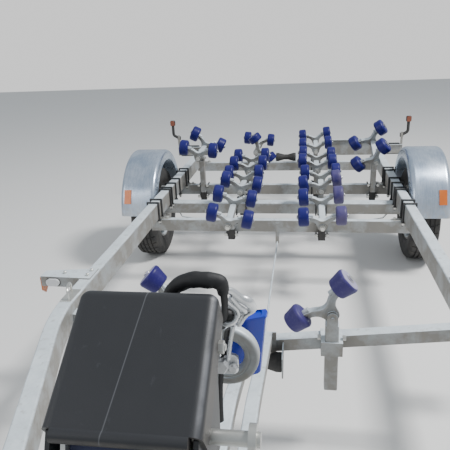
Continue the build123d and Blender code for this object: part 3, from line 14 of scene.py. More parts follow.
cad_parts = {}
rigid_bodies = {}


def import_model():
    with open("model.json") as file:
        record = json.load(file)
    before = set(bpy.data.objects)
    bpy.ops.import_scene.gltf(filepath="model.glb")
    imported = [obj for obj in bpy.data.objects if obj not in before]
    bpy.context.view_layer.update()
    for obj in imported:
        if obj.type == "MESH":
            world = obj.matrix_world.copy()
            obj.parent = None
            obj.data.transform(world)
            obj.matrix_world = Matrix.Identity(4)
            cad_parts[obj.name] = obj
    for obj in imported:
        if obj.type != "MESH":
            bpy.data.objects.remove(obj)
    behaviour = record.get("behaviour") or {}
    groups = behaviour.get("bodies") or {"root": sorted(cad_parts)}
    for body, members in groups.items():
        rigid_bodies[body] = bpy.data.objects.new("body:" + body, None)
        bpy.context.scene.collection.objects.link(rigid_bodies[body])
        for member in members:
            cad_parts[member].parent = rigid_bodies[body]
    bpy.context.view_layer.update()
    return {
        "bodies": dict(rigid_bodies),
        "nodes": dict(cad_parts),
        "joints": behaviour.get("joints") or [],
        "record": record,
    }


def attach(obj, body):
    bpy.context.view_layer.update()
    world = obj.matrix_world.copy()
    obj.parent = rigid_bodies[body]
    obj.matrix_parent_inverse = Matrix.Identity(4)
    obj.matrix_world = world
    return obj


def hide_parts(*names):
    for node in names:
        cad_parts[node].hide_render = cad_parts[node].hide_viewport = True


LOG = logging.getLogger("trailer")
MM = 0.001
Point = tuple[float, float, float]
Colour = tuple[float, float, float]
Route = tuple[Point, ...]
Profile = tuple[tuple[float, float], ...]


class Coating(Enum):
    """The record's material slots."""

    GALVANISED = "galvanised"
    FENDER = "fender_metal"
    BLACK_STEEL = "black_steel"
    ZINC = "zinc_plate"
    ROLLER = "roller_blue"
    BOW = "bow_blue"
    BLACK_RUBBER = "black_rubber"
    TYRE = "tyre_rubber"
    BLACK_PLASTIC = "black_plastic"
    WEBBING = "webbing"
    AMBER = "amber_lens"
    CLEAR = "clear_lens"
    RED = "red_lens"


class Trim(Enum):
    """Finishes that only the visual model has."""

    SLEEVE = "black strap sleeve"
    BRIGHT = "bright forged steel"
    GREY_PLASTIC = "grey moulded plastic"
    HOOD = "grained hood plastic"
    DARK_AMBER = "dark amber lens"
    BOW_LEFT = "left bow roller plastic"
    BOW_RIGHT = "right bow roller plastic"


Finish = Coating | Trim


class Value:
    """A number socket on which arithmetic adds Math nodes."""

    def __init__(self, graph: "Graph", socket: bpy.types.NodeSocket) -> None:
        """Wrap a socket.

        Args:
            graph: The graph the socket's node belongs to.
            socket: An output socket that carries one number.
        """
        self.graph = graph
        self.socket = socket

    def _math(self, operation: str, *others: "Value | float", clamp: bool = False) -> "Value":
        """Add one Math node.

        Args:
            operation: The node's operation.
            others: The inputs after this one.
            clamp: Whether the result is held between 0 and 1.

        Returns:
            The node's result.
        """
        inputs = {0: self, **{place + 1: other for place, other in enumerate(others)}}
        node = self.graph.node("ShaderNodeMath", {"operation": operation, "use_clamp": clamp}, inputs)
        return Value(self.graph, node.outputs[0])

    def __add__(self, other: "Value | float") -> "Value":
        """Sum."""
        return self._math("ADD", other)

    __radd__ = __add__

    def __sub__(self, other: "Value | float") -> "Value":
        """Difference."""
        return self._math("SUBTRACT", other)

    def __rsub__(self, other: float) -> "Value":
        """Difference from a number."""
        return (self * -1.0)._math("ADD", other)

    def __mul__(self, other: "Value | float") -> "Value":
        """Product."""
        return self._math("MULTIPLY", other)

    __rmul__ = __mul__

    def above(self, low: float, high: float) -> "Value":
        """A ramp from 0 at low to 1 at high, also with high below low.

        Args:
            low: Where the ramp leaves 0.
            high: Where it reaches 1.

        Returns:
            The ramp, held between 0 and 1.
        """
        span = 1.0 / (high - low)
        return self._math("MULTIPLY_ADD", span, -low * span, clamp=True)


class Graph:
    """The node tree of one material."""

    def __init__(self, name: str) -> None:
        """Start a material with an empty tree.

        Args:
            name: The material's name.
        """
        self.material = bpy.data.materials.new(name)
        self.material.use_nodes = True
        self.tree = self.material.node_tree
        self.tree.nodes.clear()
        self.coordinates = self.node("ShaderNodeTexCoord").outputs["Object"]

    def node(self, kind: str, settings: dict | None = None, inputs: dict | None = None) -> bpy.types.Node:
        """Add a node.

        Args:
            kind: The node's type.
            settings: Attributes, set before anything is linked.
            inputs: Socket names or places, with numbers, colours, sockets or Values.

        Returns:
            The new node.
        """
        node = self.tree.nodes.new(kind)
        for name, setting in (settings or {}).items():
            setattr(node, name, setting)
        for key, value in (inputs or {}).items():
            if isinstance(value, Value):
                self.tree.links.new(value.socket, node.inputs[key])
            elif isinstance(value, bpy.types.NodeSocket):
                self.tree.links.new(value, node.inputs[key])
            elif isinstance(value, tuple) and len(value) == 3 and node.inputs[key].type == "RGBA":
                node.inputs[key].default_value = (*value, 1.0)
            else:
                node.inputs[key].default_value = value
        return node

    def noise(self, scale: float, detail: float = 3.0, roughness: float = 0.55,
              stretch: Point = (1.0, 1.0, 1.0)) -> Value:
        """Noise over the object's own coordinates.

        Args:
            scale: Cells per metre.
            detail: Octaves.
            roughness: How strongly the finer octaves show.
            stretch: Scale along each axis.

        Returns:
            The noise, mostly between 0.3 and 0.7.
        """
        mapping = self.node("ShaderNodeMapping", None, {"Vector": self.coordinates, "Scale": stretch})
        noise = self.node("ShaderNodeTexNoise", None,
                          {"Vector": mapping.outputs[0], "Scale": scale, "Detail": detail,
                           "Roughness": roughness})
        return Value(self, noise.outputs[0])

    def cells(self, scale: float) -> Value:
        """A random level for each cell of a cell pattern.

        Args:
            scale: Cells per metre.

        Returns:
            A level between 0 and 1.
        """
        cell = self.node("ShaderNodeTexVoronoi", None, {"Vector": self.coordinates, "Scale": scale})
        split = self.node("ShaderNodeSeparateXYZ", None, {0: cell.outputs["Color"]})
        return Value(self, split.outputs[0])

    def axis(self, place: int) -> Value:
        """One of the object's own coordinates, in metres.

        Args:
            place: 0 for X, 1 for Y, 2 for Z.

        Returns:
            The coordinate.
        """
        split = self.node("ShaderNodeSeparateXYZ", None, {0: self.coordinates})
        return Value(self, split.outputs[place])

    def upward(self) -> Value:
        """How far the surface faces up, from -1 to 1."""
        split = self.node("ShaderNodeSeparateXYZ", None,
                          {0: self.node("ShaderNodeNewGeometry").outputs["Normal"]})
        return Value(self, split.outputs[2])

    def mix(self, factor: Value | float, first: Colour | bpy.types.NodeSocket,
            second: Colour | bpy.types.NodeSocket) -> bpy.types.NodeSocket:
        """Mix two colours.

        Args:
            factor: 0 for the first, 1 for the second.
            first: A colour or colour socket.
            second: A colour or colour socket.

        Returns:
            The mixed colour's socket.
        """
        settings = {"data_type": "RGBA", "clamp_factor": True}
        return self.node("ShaderNodeMix", settings, {0: factor, 6: first, 7: second}).outputs[2]

    def bump(self, height: Value, strength: float, distance: float) -> bpy.types.NodeSocket:
        """A normal from a height.

        Args:
            height: The height, about 0 to 1.
            strength: How strongly it acts.
            distance: The height's size in metres.

        Returns:
            The normal's socket.
        """
        node = self.node("ShaderNodeBump", None,
                         {"Height": height, "Strength": strength, "Distance": distance})
        return node.outputs[0]

    def surface(self, **sockets: object) -> bpy.types.Material:
        """Close the tree with a Principled shader.

        Args:
            sockets: Values or links of the shader's sockets, with underscores for spaces.

        Returns:
            The finished material.
        """
        inputs = {name.replace("_", " "): value for name, value in sockets.items()}
        shader = self.node("ShaderNodeBsdfPrincipled", None, inputs)
        self.node("ShaderNodeOutputMaterial", None, {"Surface": shader.outputs[0]})
        return self.material


@dataclass(frozen=True)
class Galvanised:
    """Hot-dip zinc: a faint spangle, runs and chalky patches, a painted highlight that makes the tops pale
    blue-grey, and painted shade that makes the sides darker and browner.
    """

    light: Colour = (0.68, 0.74, 0.78)
    dark: Colour = (0.34, 0.375, 0.40)
    # side is painted shade: the dark brown that side and lower faces take on.
    side: Colour = (0.215, 0.20, 0.175)
    # top is a painted highlight: the pale blue-grey that upward faces take on.
    top: Colour = (0.78, 0.86, 0.90)
    stain: Colour = (0.26, 0.235, 0.19)
    metallic: float = 0.20

    def build(self) -> bpy.types.Material:
        """Build the material.

        Returns:
            The material.
        """
        graph = Graph("galvanised zinc")
        cloud = graph.noise(9.0, 4.0, 0.6)
        spangle = graph.cells(120.0)
        fine = graph.noise(240.0, 2.0)
        streak = graph.noise(34.0, 4.0, 0.6, (1.0, 1.0, 0.22))
        worn = graph.mix((cloud * 0.88 + spangle * 0.12).above(0.30, 0.70), self.dark, self.light)
        # Painted highlight: upward faces are mixed towards the pale top colour.
        grey = graph.mix(graph.upward().above(0.55, 0.98) * 0.62, worn, self.top)
        # Painted shade: side and lower faces are mixed, in patches, towards the dark brown side colour.
        painted_side_shading = graph.mix(graph.upward().above(0.6, 0.0) * cloud.above(0.20, 0.55) * 0.92, grey, self.side)
        stained = graph.mix(streak.above(0.56, 0.74) * 0.45, painted_side_shading, self.stain)
        rough = (cloud * 0.25 + spangle * 0.12) + 0.32
        return graph.surface(Base_Color=stained, Metallic=self.metallic, Roughness=rough,
                             Normal=graph.bump(fine * 0.5 + cloud, 0.25, 0.0012))


@dataclass(frozen=True)
class BrightSheet:
    """Smooth bright zinc of the fenders, a little clouded, tinted blue as a painted reflection of the sky,
    with a beige painted reflection of the ground low down.
    """

    # light and dark are tinted blue: a painted reflection of the sky.
    light: Colour = (0.60, 0.67, 0.76)
    dark: Colour = (0.34, 0.42, 0.54)
    # This beige is a painted reflection of the ground, laid in patches on the low parts of the fenders.
    ground_tint: Colour = (0.46, 0.43, 0.38)

    def build(self) -> bpy.types.Material:
        """Build the material.

        Returns:
            The material.
        """
        graph = Graph("bright fender sheet")
        cloud = graph.noise(6.0, 4.0, 0.55)
        streak = graph.noise(30.0, 3.0, 0.5, (4.0, 0.6, 0.6))
        # Painted reflection of the sky: the sheet is mixed between two blue-tinted greys.
        sky_tinted_sheet = graph.mix((cloud * 0.7 + streak * 0.3).above(0.35, 0.65), self.dark, self.light)
        # Painted reflection of the ground: the low parts are mixed, in patches, towards beige.
        low = graph.axis(2).above(0.56, 0.41)
        ground_reflected = graph.mix(low * graph.noise(45.0, 5.0, 0.7).above(0.35, 0.65) * 0.7, sky_tinted_sheet, self.ground_tint)
        return graph.surface(Base_Color=ground_reflected, Metallic=0.75, Roughness=(cloud * 0.18 + low * 0.2) + 0.16,
                             Normal=graph.bump(cloud, 0.12, 0.002))


@dataclass(frozen=True)
class RollerPlastic:
    """Deep blue roller plastic; the sun has bleached the outer rollers on the right, and upward faces get a
    painted highlight.
    """

    blue: Colour = (0.006, 0.006, 0.105)
    bleached: Colour = (0.080, 0.065, 0.150)
    # Pale blue for scuffs, and also the painted highlight on upward faces.
    scuff_and_top_highlight: Colour = (0.045, 0.045, 0.24)

    def build(self) -> bpy.types.Material:
        """Build the material.

        Returns:
            The material.
        """
        graph = Graph("blue roller plastic")
        outer = graph.axis(0).above(0.335, 0.350) * graph.axis(0).above(0.52, 0.50)
        near = graph.axis(1).above(1.62, 1.58)
        cloud = graph.noise(14.0, 4.0, 0.6)
        scuff = graph.noise(160.0, 3.0, 0.7).above(0.58, 0.75)
        base = graph.mix(outer * near * cloud.above(0.2, 0.5), self.blue, self.bleached)
        # Painted highlight: upward faces are mixed, in patches, towards pale blue.
        top = graph.mix(graph.upward().above(0.2, 1.0) * 0.45 * cloud, base, self.scuff_and_top_highlight)
        return graph.surface(Base_Color=graph.mix(scuff * 0.25, top, self.scuff_and_top_highlight),
                             Roughness=(cloud * 0.25) + 0.26, Specular_IOR_Level=0.3,
                             Normal=graph.bump(cloud + scuff * 0.3, 0.2, 0.001))


@dataclass(frozen=True)
class BowRollerPlastic:
    """Violet-navy plastic of a bow fork's rollers, their outer faces bleached pale."""

    x: float
    roll: float
    navy: Colour = (0.016, 0.010, 0.120)
    pale: Colour = (0.34, 0.32, 0.52)
    face: float = 0.1405

    def build(self) -> bpy.types.Material:
        """Build the material.

        Returns:
            The material.
        """
        graph = Graph("bow roller plastic")
        turn = math.radians(self.roll)
        along = (graph.axis(0) - self.x) * math.cos(turn) + (graph.axis(2) - 0.563) * math.sin(turn)
        outer = along.above(self.face, self.face + 0.002) + along.above(-self.face, -self.face - 0.002)
        cloud = graph.noise(16.0, 4.0, 0.6)
        scuff = graph.noise(150.0, 3.0, 0.7).above(0.55, 0.75)
        faces = graph.mix(outer * (cloud * 0.5 + 0.55), self.navy, self.pale)
        return graph.surface(Base_Color=graph.mix(scuff * 0.12, faces, self.pale),
                             Roughness=(cloud * 0.25) + 0.3, Specular_IOR_Level=0.3,
                             Normal=graph.bump(cloud + scuff * 0.3, 0.2, 0.001))


@dataclass(frozen=True)
class Hood:
    """Charcoal hood plastic with a fine grain and a few light scratches, a painted highlight along the
    moulding seam and the right edge, and painted brown-grey light on the side faces.
    """

    charcoal: Colour = (0.020, 0.021, 0.024)
    # side is painted light: the brown-grey that side faces take on.
    side: Colour = (0.055, 0.049, 0.044)
    # worn colours the few scratches, and also the painted highlights along the seam and the right edge.
    worn: Colour = (0.16, 0.165, 0.18)

    def build(self) -> bpy.types.Material:
        """Build the material.

        Returns:
            The material.
        """
        graph = Graph("grained hood plastic")
        cloud = graph.noise(20.0, 4.0, 0.6)
        fine = graph.noise(900.0, 2.0, 0.6)
        scratch = graph.noise(90.0, 4.0, 0.7, (1.0, 0.25, 1.0)).above(0.62, 0.75)
        # Painted highlight: a pale line along the ridge of the moulding seam.
        seam_x = (graph.axis(1) + 1.413) * 0.12
        off = graph.axis(0) - seam_x
        seam_highlight = off.above(-0.0009, -0.0002) * off.above(0.0009, 0.0002) * graph.axis(2).above(1.19, 1.20)
        # Painted highlight: a pale band along the hood's rounded right edge.
        rim = graph.axis(0).above(0.0705, 0.0735) * graph.axis(0).above(0.0775, 0.0755)
        edge_highlight = rim * graph.axis(2).above(1.20, 1.215)
        # Painted light: side faces are mixed, in patches, towards brown-grey.
        painted_side_shading = graph.mix(graph.upward().above(0.35, 0.1) * cloud.above(0.3, 0.6), self.charcoal, self.side)
        # The seam and edge terms are painted highlights; the scratch term is real wear.
        highlights_and_scratches = seam_highlight * 0.45 + edge_highlight * cloud.above(0.30, 0.60) * 0.75 + scratch * 0.10
        return graph.surface(Base_Color=graph.mix(highlights_and_scratches, painted_side_shading, self.worn), Roughness=(cloud * 0.2) + 0.36,
                             Normal=graph.bump(fine, 0.4, 0.0004))


@dataclass(frozen=True)
class Tyre:
    """Tyre rubber, dusty on the tread and in the grooves."""

    side: Colour = (0.018, 0.018, 0.019)
    # The tyre's grey-beige road dust on the rubber.
    ground_tint: Colour = (0.095, 0.088, 0.078)

    def build(self) -> bpy.types.Material:
        """Build the material.

        Returns:
            The material.
        """
        graph = Graph("tyre rubber")
        cloud = graph.noise(16.0, 4.0, 0.65)
        fine = graph.noise(300.0, 2.0, 0.6)
        colour = graph.mix(cloud.above(0.35, 0.70) * 0.55 + fine.above(0.6, 0.8) * 0.2, self.side, self.ground_tint)
        return graph.surface(Base_Color=colour, Roughness=(cloud * 0.2) + 0.62,
                             Normal=graph.bump(fine, 0.4, 0.0005))


@dataclass(frozen=True)
class Plain:
    """A moulded or coated surface with a fine grain and a little dust."""

    name: str
    colour: Colour
    worn: Colour
    grain: float = 400.0
    depth: float = 0.0003
    roughness: float = 0.5
    metallic: float = 0.0
    transmission: float = 0.0
    coat: float = 0.0

    def build(self) -> bpy.types.Material:
        """Build the material.

        Returns:
            The material.
        """
        graph = Graph(self.name)
        cloud = graph.noise(18.0, 4.0, 0.6)
        fine = graph.noise(self.grain, 2.0, 0.6)
        colour = graph.mix(cloud.above(0.35, 0.75) * 0.6 + fine.above(0.6, 0.8) * 0.15, self.colour,
                           self.worn)
        return graph.surface(Base_Color=colour, Metallic=self.metallic, Transmission_Weight=self.transmission,
                             Coat_Weight=self.coat, Roughness=(cloud * 0.2) + (self.roughness - 0.1),
                             Normal=graph.bump(fine, 0.4, self.depth))


FINISHES: dict[Finish, object] = {
    Coating.GALVANISED: Galvanised(),
    Coating.FENDER: BrightSheet(),
    Coating.ROLLER: RollerPlastic(),
    Coating.TYRE: Tyre(),
    Coating.BLACK_PLASTIC: Plain("black plastic", (0.020, 0.021, 0.023), (0.06, 0.06, 0.06), 600.0, 0.0004,
                                 0.5),
    Coating.BLACK_STEEL: Plain("black coated steel", (0.028, 0.029, 0.031), (0.08, 0.08, 0.08), 300.0,
                               0.0003, 0.45, 0.3),
    Coating.ZINC: Plain("zinc plating", (0.66, 0.66, 0.63), (0.44, 0.44, 0.40), 200.0, 0.0002, 0.32, 0.8),
    Coating.BOW: Plain("clear blue bow stop", (0.0, 0.030, 0.42), (0.035, 0.025, 0.36), 60.0, 0.0004, 0.25),
    Coating.BLACK_RUBBER: Plain("black rubber", (0.022, 0.022, 0.022), (0.07, 0.065, 0.06), 500.0, 0.0004,
                                0.7),
    Coating.WEBBING: Plain("dark webbing", (0.020, 0.024, 0.060), (0.05, 0.055, 0.10), 700.0, 0.0008, 0.85),
    Coating.AMBER: Plain("amber reflector", (0.52, 0.115, 0.012), (0.66, 0.20, 0.03), 350.0, 0.0005, 0.22,
                         0.0, 0.0, 0.6),
    Coating.CLEAR: Plain("clear lens", (0.86, 0.87, 0.88), (0.75, 0.76, 0.78), 350.0, 0.0004, 0.15, 0.0,
                         0.2, 0.6),
    Coating.RED: Plain("red lens", (0.45, 0.015, 0.012), (0.60, 0.04, 0.03), 350.0, 0.0005, 0.2, 0.0, 0.0,
                       0.6),
    Trim.SLEEVE: Plain("black strap sleeve", (0.006, 0.006, 0.007), (0.016, 0.016, 0.018), 500.0, 0.0006,
                       0.6),
    Trim.BRIGHT: Plain("bright forged steel", (0.74, 0.75, 0.76), (0.48, 0.49, 0.50), 160.0, 0.0003, 0.28,
                       0.75),
    Trim.GREY_PLASTIC: Plain("grey moulded plastic", (0.30, 0.31, 0.32), (0.42, 0.42, 0.41), 500.0, 0.0003,
                             0.5),
    Trim.HOOD: Hood(),
    Trim.BOW_LEFT: BowRollerPlastic(-0.359, -42.0),
    Trim.BOW_RIGHT: BowRollerPlastic(0.274, 42.0, (0.045, 0.036, 0.150), (0.42, 0.40, 0.54)),
    Trim.DARK_AMBER: Plain("dark amber lens", (0.16, 0.035, 0.012), (0.24, 0.06, 0.02), 350.0, 0.0004, 0.25,
                           0.0, 0.0, 0.4),
}

NODE_FINISHES: dict[str, Finish] = {
    "winch_cover": Trim.HOOD,
    "brake_linkage": Coating.GALVANISED,
    "rollers_bow_left": Trim.BOW_LEFT,
    "rollers_bow_right": Trim.BOW_RIGHT,
}


@dataclass
class Paintshop:
    """Builds each finish once and gives every carried-over solid its own."""

    frame: dict
    materials: dict[Finish, bpy.types.Material] = field(default_factory=dict)

    def material(self, finish: Finish) -> bpy.types.Material:
        """The material of a finish, built on first use.

        Args:
            finish: The finish.

        Returns:
            Its material.
        """
        if finish not in self.materials:
            self.materials[finish] = FINISHES[finish].build()
        return self.materials[finish]

    def dress(self) -> None:
        """Put a finish on every node."""
        for part in self.frame["record"]["subparts"]:
            obj = self.frame["nodes"][part["node"]]
            finish = NODE_FINISHES.get(part["node"], Coating(part["material_slot"]))
            obj.data.materials.clear()
            obj.data.materials.append(self.material(finish))


@dataclass
class Studio:
    """Camera, plain floor and soft light."""

    position: Point = (0.1688, -1.910, 1.5464)
    yaw: float = math.radians(9.14)
    pitch: float = math.radians(19.75)
    roll: float = math.radians(-2.56)
    lens: float = 42.0
    floor_half: float = 16.0

    def build(self) -> None:
        """Build the camera, the floor, the lamps and the world."""
        self._camera()
        self._floor()
        self._lamps()
        self._world()

    def _camera(self) -> None:
        """Place the camera where the photograph was taken."""
        ahead = Vector((-math.sin(self.yaw), math.cos(self.yaw), 0.0))
        side = Vector((math.cos(self.yaw), math.sin(self.yaw), 0.0))
        above = Vector((0.0, 0.0, 1.0))
        forward = ahead * math.cos(self.pitch) - above * math.sin(self.pitch)
        up = ahead * math.sin(self.pitch) + above * math.cos(self.pitch)
        right = side * math.cos(self.roll) + up * math.sin(self.roll)
        top = up * math.cos(self.roll) - side * math.sin(self.roll)
        data = bpy.data.cameras.new("view")
        data.lens = self.lens
        data.sensor_width = 36.0
        data.sensor_fit = "HORIZONTAL"
        data.clip_start = 0.01
        camera = bpy.data.objects.new("view", data)
        bpy.context.scene.collection.objects.link(camera)
        turn = Matrix((right, top, -forward)).transposed().to_4x4()
        camera.matrix_world = Matrix.Translation(self.position) @ turn
        bpy.context.scene.camera = camera

    def _floor(self) -> None:
        """Lay the plain pale floor."""
        half = self.floor_half
        mesh = bpy.data.meshes.new("floor")
        corner_points = [(-half, -half, 0), (half, -half, 0), (half, half, 0), (-half, half, 0)]
        mesh.from_pydata(corner_points, [], [(0, 1, 2, 3)])
        floor = bpy.data.objects.new("floor", mesh)
        bpy.context.scene.collection.objects.link(floor)
        graph = Graph("pale floor")
        floor.data.materials.append(graph.surface(Base_Color=(0.80, 0.79, 0.77), Roughness=0.9))

    def _lamps(self) -> None:
        """Hang one soft key from the right and a weak fill."""
        lamps = (("key", (3.5, 0.5, 6.0), 560.0, 1.4), ("fill", (-5.0, -4.0, 4.0), 120.0, 4.0))
        for name, place, energy, size in lamps:
            data = bpy.data.lights.new(name, "AREA")
            data.energy = energy
            data.size = size
            lamp = bpy.data.objects.new(name, data)
            bpy.context.scene.collection.objects.link(lamp)
            lamp.location = place
            aim = Vector((0.0, 1.0, 0.4)) - Vector(place)
            lamp.rotation_euler = aim.to_track_quat("-Z", "Y").to_euler()

    def _world(self) -> None:
        """White to the camera, a plain pale sky to the surfaces."""
        world = bpy.data.worlds.new("world")
        bpy.context.scene.world = world
        world.use_nodes = True
        tree = world.node_tree
        tree.nodes.clear()
        seen = tree.nodes.new("ShaderNodeLightPath")
        most = tree.nodes.new("ShaderNodeMath")
        most.operation = "MAXIMUM"
        tree.links.new(seen.outputs["Is Camera Ray"], most.inputs[0])
        tree.links.new(seen.outputs["Is Transmission Ray"], most.inputs[1])
        mix = tree.nodes.new("ShaderNodeMixShader")
        sky = tree.nodes.new("ShaderNodeBackground")
        sky.inputs["Color"].default_value = (0.86, 0.93, 1.0, 1.0)
        sky.inputs["Strength"].default_value = 0.58
        white = tree.nodes.new("ShaderNodeBackground")
        white.inputs["Color"].default_value = (1.0, 1.0, 1.0, 1.0)
        out = tree.nodes.new("ShaderNodeOutputWorld")
        tree.links.new(most.outputs[0], mix.inputs[0])
        tree.links.new(sky.outputs[0], mix.inputs[1])
        tree.links.new(white.outputs[0], mix.inputs[2])
        tree.links.new(mix.outputs[0], out.inputs[0])


@dataclass
class Cradle:
    """Where one cradle stands, with the pitch and rolls at which it rests.

    clamp_side is 1 where the post's clamp faces the rear, and -1 where it faces the hitch.
    """

    name: str
    x: float
    y: float
    pivot_z: float
    clamp_side: int
    pitch: float
    roll_front: float
    roll_rear: float
    fork_out: float = 140.0
    pivot_drop: float = 40.0

    def turn(self) -> Matrix:
        """The cradle's own frame, in millimetres."""
        place = Matrix.Translation((self.x, self.y, self.pivot_z))
        return place @ Matrix.Rotation(math.radians(self.pitch), 4, "X")

    def forks(self) -> list[tuple[int, Matrix]]:
        """The two forks' frames about their bolts.

        Returns:
            -1 in front or 1 behind, and the frame.
        """
        frames = []
        for place, roll in ((-1, self.roll_front), (1, self.roll_rear)):
            shift = Matrix.Translation((0.0, place * self.fork_out, self.pivot_drop))
            frames.append((place, self.turn() @ shift @ Matrix.Rotation(math.radians(-roll), 4, "Y")))
        return frames


BOW_FORK_X = (-359.0, 274.0)
BOW_FORK_Y = -170.0
BOW_FORK_Z = 563.0
BOW_FORK_ROLL = (-42.0, 42.0)

CRADLES = [
    Cradle("left_1", -288.0, 1183.0, 446.0, -1, 8.0, -12.6, -9.8),
    Cradle("left_2", -269.0, 1660.0, 496.0, 1, -1.6, -9.9, 0.7),
    Cradle("left_3", -252.0, 2097.0, 525.0, 1, -0.6, 0.6, 1.8),
    Cradle("left_4", -265.0, 2853.0, 515.0, 1, 0.2, -53.3, -6.2),
    Cradle("right_1", 275.0, 1183.0, 446.0, -1, 8.0, 2.8, 4.4),
    Cradle("right_2", 280.0, 1660.0, 500.0, 1, -1.6, 9.8, 2.6),
    Cradle("right_3", 256.0, 2097.0, 535.0, 1, -0.6, -1.5, -2.9),
    Cradle("right_4", 263.0, 2853.0, 538.0, 1, 5.9, 4.1, 6.5),
    Cradle("side_left", -620.0, 2017.0, 670.0, -1, 5.0, -6.7, -25.7),
    Cradle("side_right", 673.0, 2017.0, 666.0, -1, 18.0, 41.5, 36.0),
]


class Forge:
    """Gathers like pieces, in millimetres, into one mesh object."""

    def __init__(self) -> None:
        """Start with no faces."""
        self.mesh = bmesh.new()

    def loft(self, rings: list[list[Vector]], closed: bool = False) -> None:
        """Join rings of equally many points.

        Args:
            rings: The rings in order.
            closed: Whether the last ring joins the first; otherwise both ends are capped.
        """
        rows = [[self.mesh.verts.new(point) for point in ring] for ring in rings]
        pairs = list(zip(rows, rows[1:]))
        if closed:
            pairs.append((rows[-1], rows[0]))
        for near, far in pairs:
            count = len(near)
            for k in range(count):
                self.mesh.faces.new((near[k], near[(k + 1) % count], far[(k + 1) % count], far[k]))
        if not closed:
            self.mesh.faces.new(list(reversed(rows[0])))
            self.mesh.faces.new(rows[-1])

    def lathe(self, turn: Matrix, profile: list[tuple[float, float]], sides: int = 24) -> None:
        """Turn a profile about the frame's Z axis.

        Args:
            turn: Where the axis lies.
            profile: Radius and height of each ring, from one end to the other.
            sides: Points in a ring.
        """
        angles = [2.0 * math.pi * k / sides for k in range(sides)]
        self.loft([[turn @ Vector((max(radius, 0.05) * math.cos(a), max(radius, 0.05) * math.sin(a), height))
                    for a in angles] for radius, height in profile])

    def hoop(self, turn: Matrix, section: list[tuple[float, float]], sides: int = 40) -> None:
        """Turn a closed section about the frame's Z axis into a ring.

        Args:
            turn: Where the axis lies.
            section: Radius and height of each point round the section.
            sides: Sections round the ring.
        """
        angles = [2.0 * math.pi * k / sides for k in range(sides)]
        self.loft([[turn @ Vector((radius * math.cos(a), radius * math.sin(a), height))
                    for radius, height in section] for a in angles], closed=True)

    def prism(self, turn: Matrix, outline: list[tuple[float, float]], depth: float,
              chamfer: float = 0.0) -> None:
        """Extrude an outline along the frame's Z axis.

        Args:
            turn: The outline's frame.
            outline: Points in order.
            depth: Length of the extrusion.
            chamfer: How far both ends draw in, as seen at the farthest point.
        """
        reach = max(math.hypot(x, y) for x, y in outline)
        shrink = 1.0 - chamfer / reach
        levels = [(shrink, 0.0), (1.0, chamfer), (1.0, depth - chamfer), (shrink, depth)]
        if chamfer == 0.0:
            levels = [(1.0, 0.0), (1.0, depth)]
        self.loft([[turn @ Vector((x * share, y * share, height)) for x, y in outline]
                   for share, height in levels])

    def block(self, low: Point, high: Point, chamfer: float = 0.8) -> None:
        """A box with chamfered ends between two corners.

        Args:
            low: The lowest corner.
            high: The highest corner.
            chamfer: The ends' chamfer.
        """
        half_x, half_y = (high[0] - low[0]) / 2, (high[1] - low[1]) / 2
        turn = Matrix.Translation((low[0] + half_x, low[1] + half_y, low[2]))
        outline = [(half_x, half_y), (-half_x, half_y), (-half_x, -half_y), (half_x, -half_y)]
        self.prism(turn, outline, high[2] - low[2], chamfer)

    def nut(self, point: Point, direction: Point, across: float, stud: float = 4.0) -> None:
        """A washer, a hexagon nut and the end of its bolt.

        Args:
            point: Where the washer seats.
            direction: Away from the seat.
            across: The nut's width across flats.
            stud: How far the bolt stands out of the nut; 0 makes a plain bolt head.
        """
        turn = facing(point, direction)
        washer, height = 2.0, 0.62 * across
        inner, outer = across * 0.62, across * 0.66
        self.lathe(turn, [(inner, 0.0), (outer, 0.4), (outer, washer - 0.4), (inner, washer)])
        corner = across / math.sqrt(3.0)
        outline = [(corner * math.cos(k * math.pi / 3), corner * math.sin(k * math.pi / 3)) for k in range(6)]
        self.prism(turn @ Matrix.Translation((0.0, 0.0, washer)), outline, height, 0.9)
        if stud > 0.0:
            top = washer + height
            radius = across * 0.31
            self.lathe(turn, [(radius, top - 1.0), (radius, top + stud - 1.0), (radius - 1.0, top + stud)],
                       14)

    def tube(self, points: Sequence[Point], radii: Sequence[float] | float, sides: int = 12,
             flat: float = 1.0, steps: int = 5) -> None:
        """A round bar along a smooth path.

        Args:
            points: Points on its centre line.
            radii: One radius, or one for each point.
            sides: Points in a ring.
            flat: Thickness of the section against its width.
            steps: Rings between two points.
        """
        sizes = [radii] * len(points) if isinstance(radii, float) else list(radii)
        path = smooth_path([Vector(point) for point in points], sizes, steps)
        ahead = (path[1][0] - path[0][0]).normalized()
        side = ahead.orthogonal().normalized()
        rings = []
        for number, (centre, radius) in enumerate(path):
            before = path[max(number - 1, 0)][0]
            after = path[min(number + 1, len(path) - 1)][0]
            ahead = (after - before).normalized()
            side = (side - ahead * side.dot(ahead)).normalized()
            other = ahead.cross(side)
            rings.append([centre + side * (radius * math.cos(a)) + other * (radius * flat * math.sin(a))
                          for a in (2.0 * math.pi * k / sides for k in range(sides))])
        self.loft(rings)

    def finish(self, name: str, material: bpy.types.Material, angle: float = 35.0) -> bpy.types.Object:
        """Make the object, in metres.

        Args:
            name: The object's name.
            material: Its finish.
            angle: Edges sharper than this many degrees stay sharp.

        Returns:
            The linked object.
        """
        bmesh.ops.recalc_face_normals(self.mesh, faces=self.mesh.faces[:])
        self.mesh.transform(Matrix.Scale(MM, 4))
        mesh = bpy.data.meshes.new(name)
        self.mesh.to_mesh(mesh)
        self.mesh.free()
        for face in mesh.polygons:
            face.use_smooth = True
        mesh.set_sharp_from_angle(angle=math.radians(angle))
        mesh.materials.append(material)
        obj = bpy.data.objects.new(name, mesh)
        bpy.context.scene.collection.objects.link(obj)
        return obj


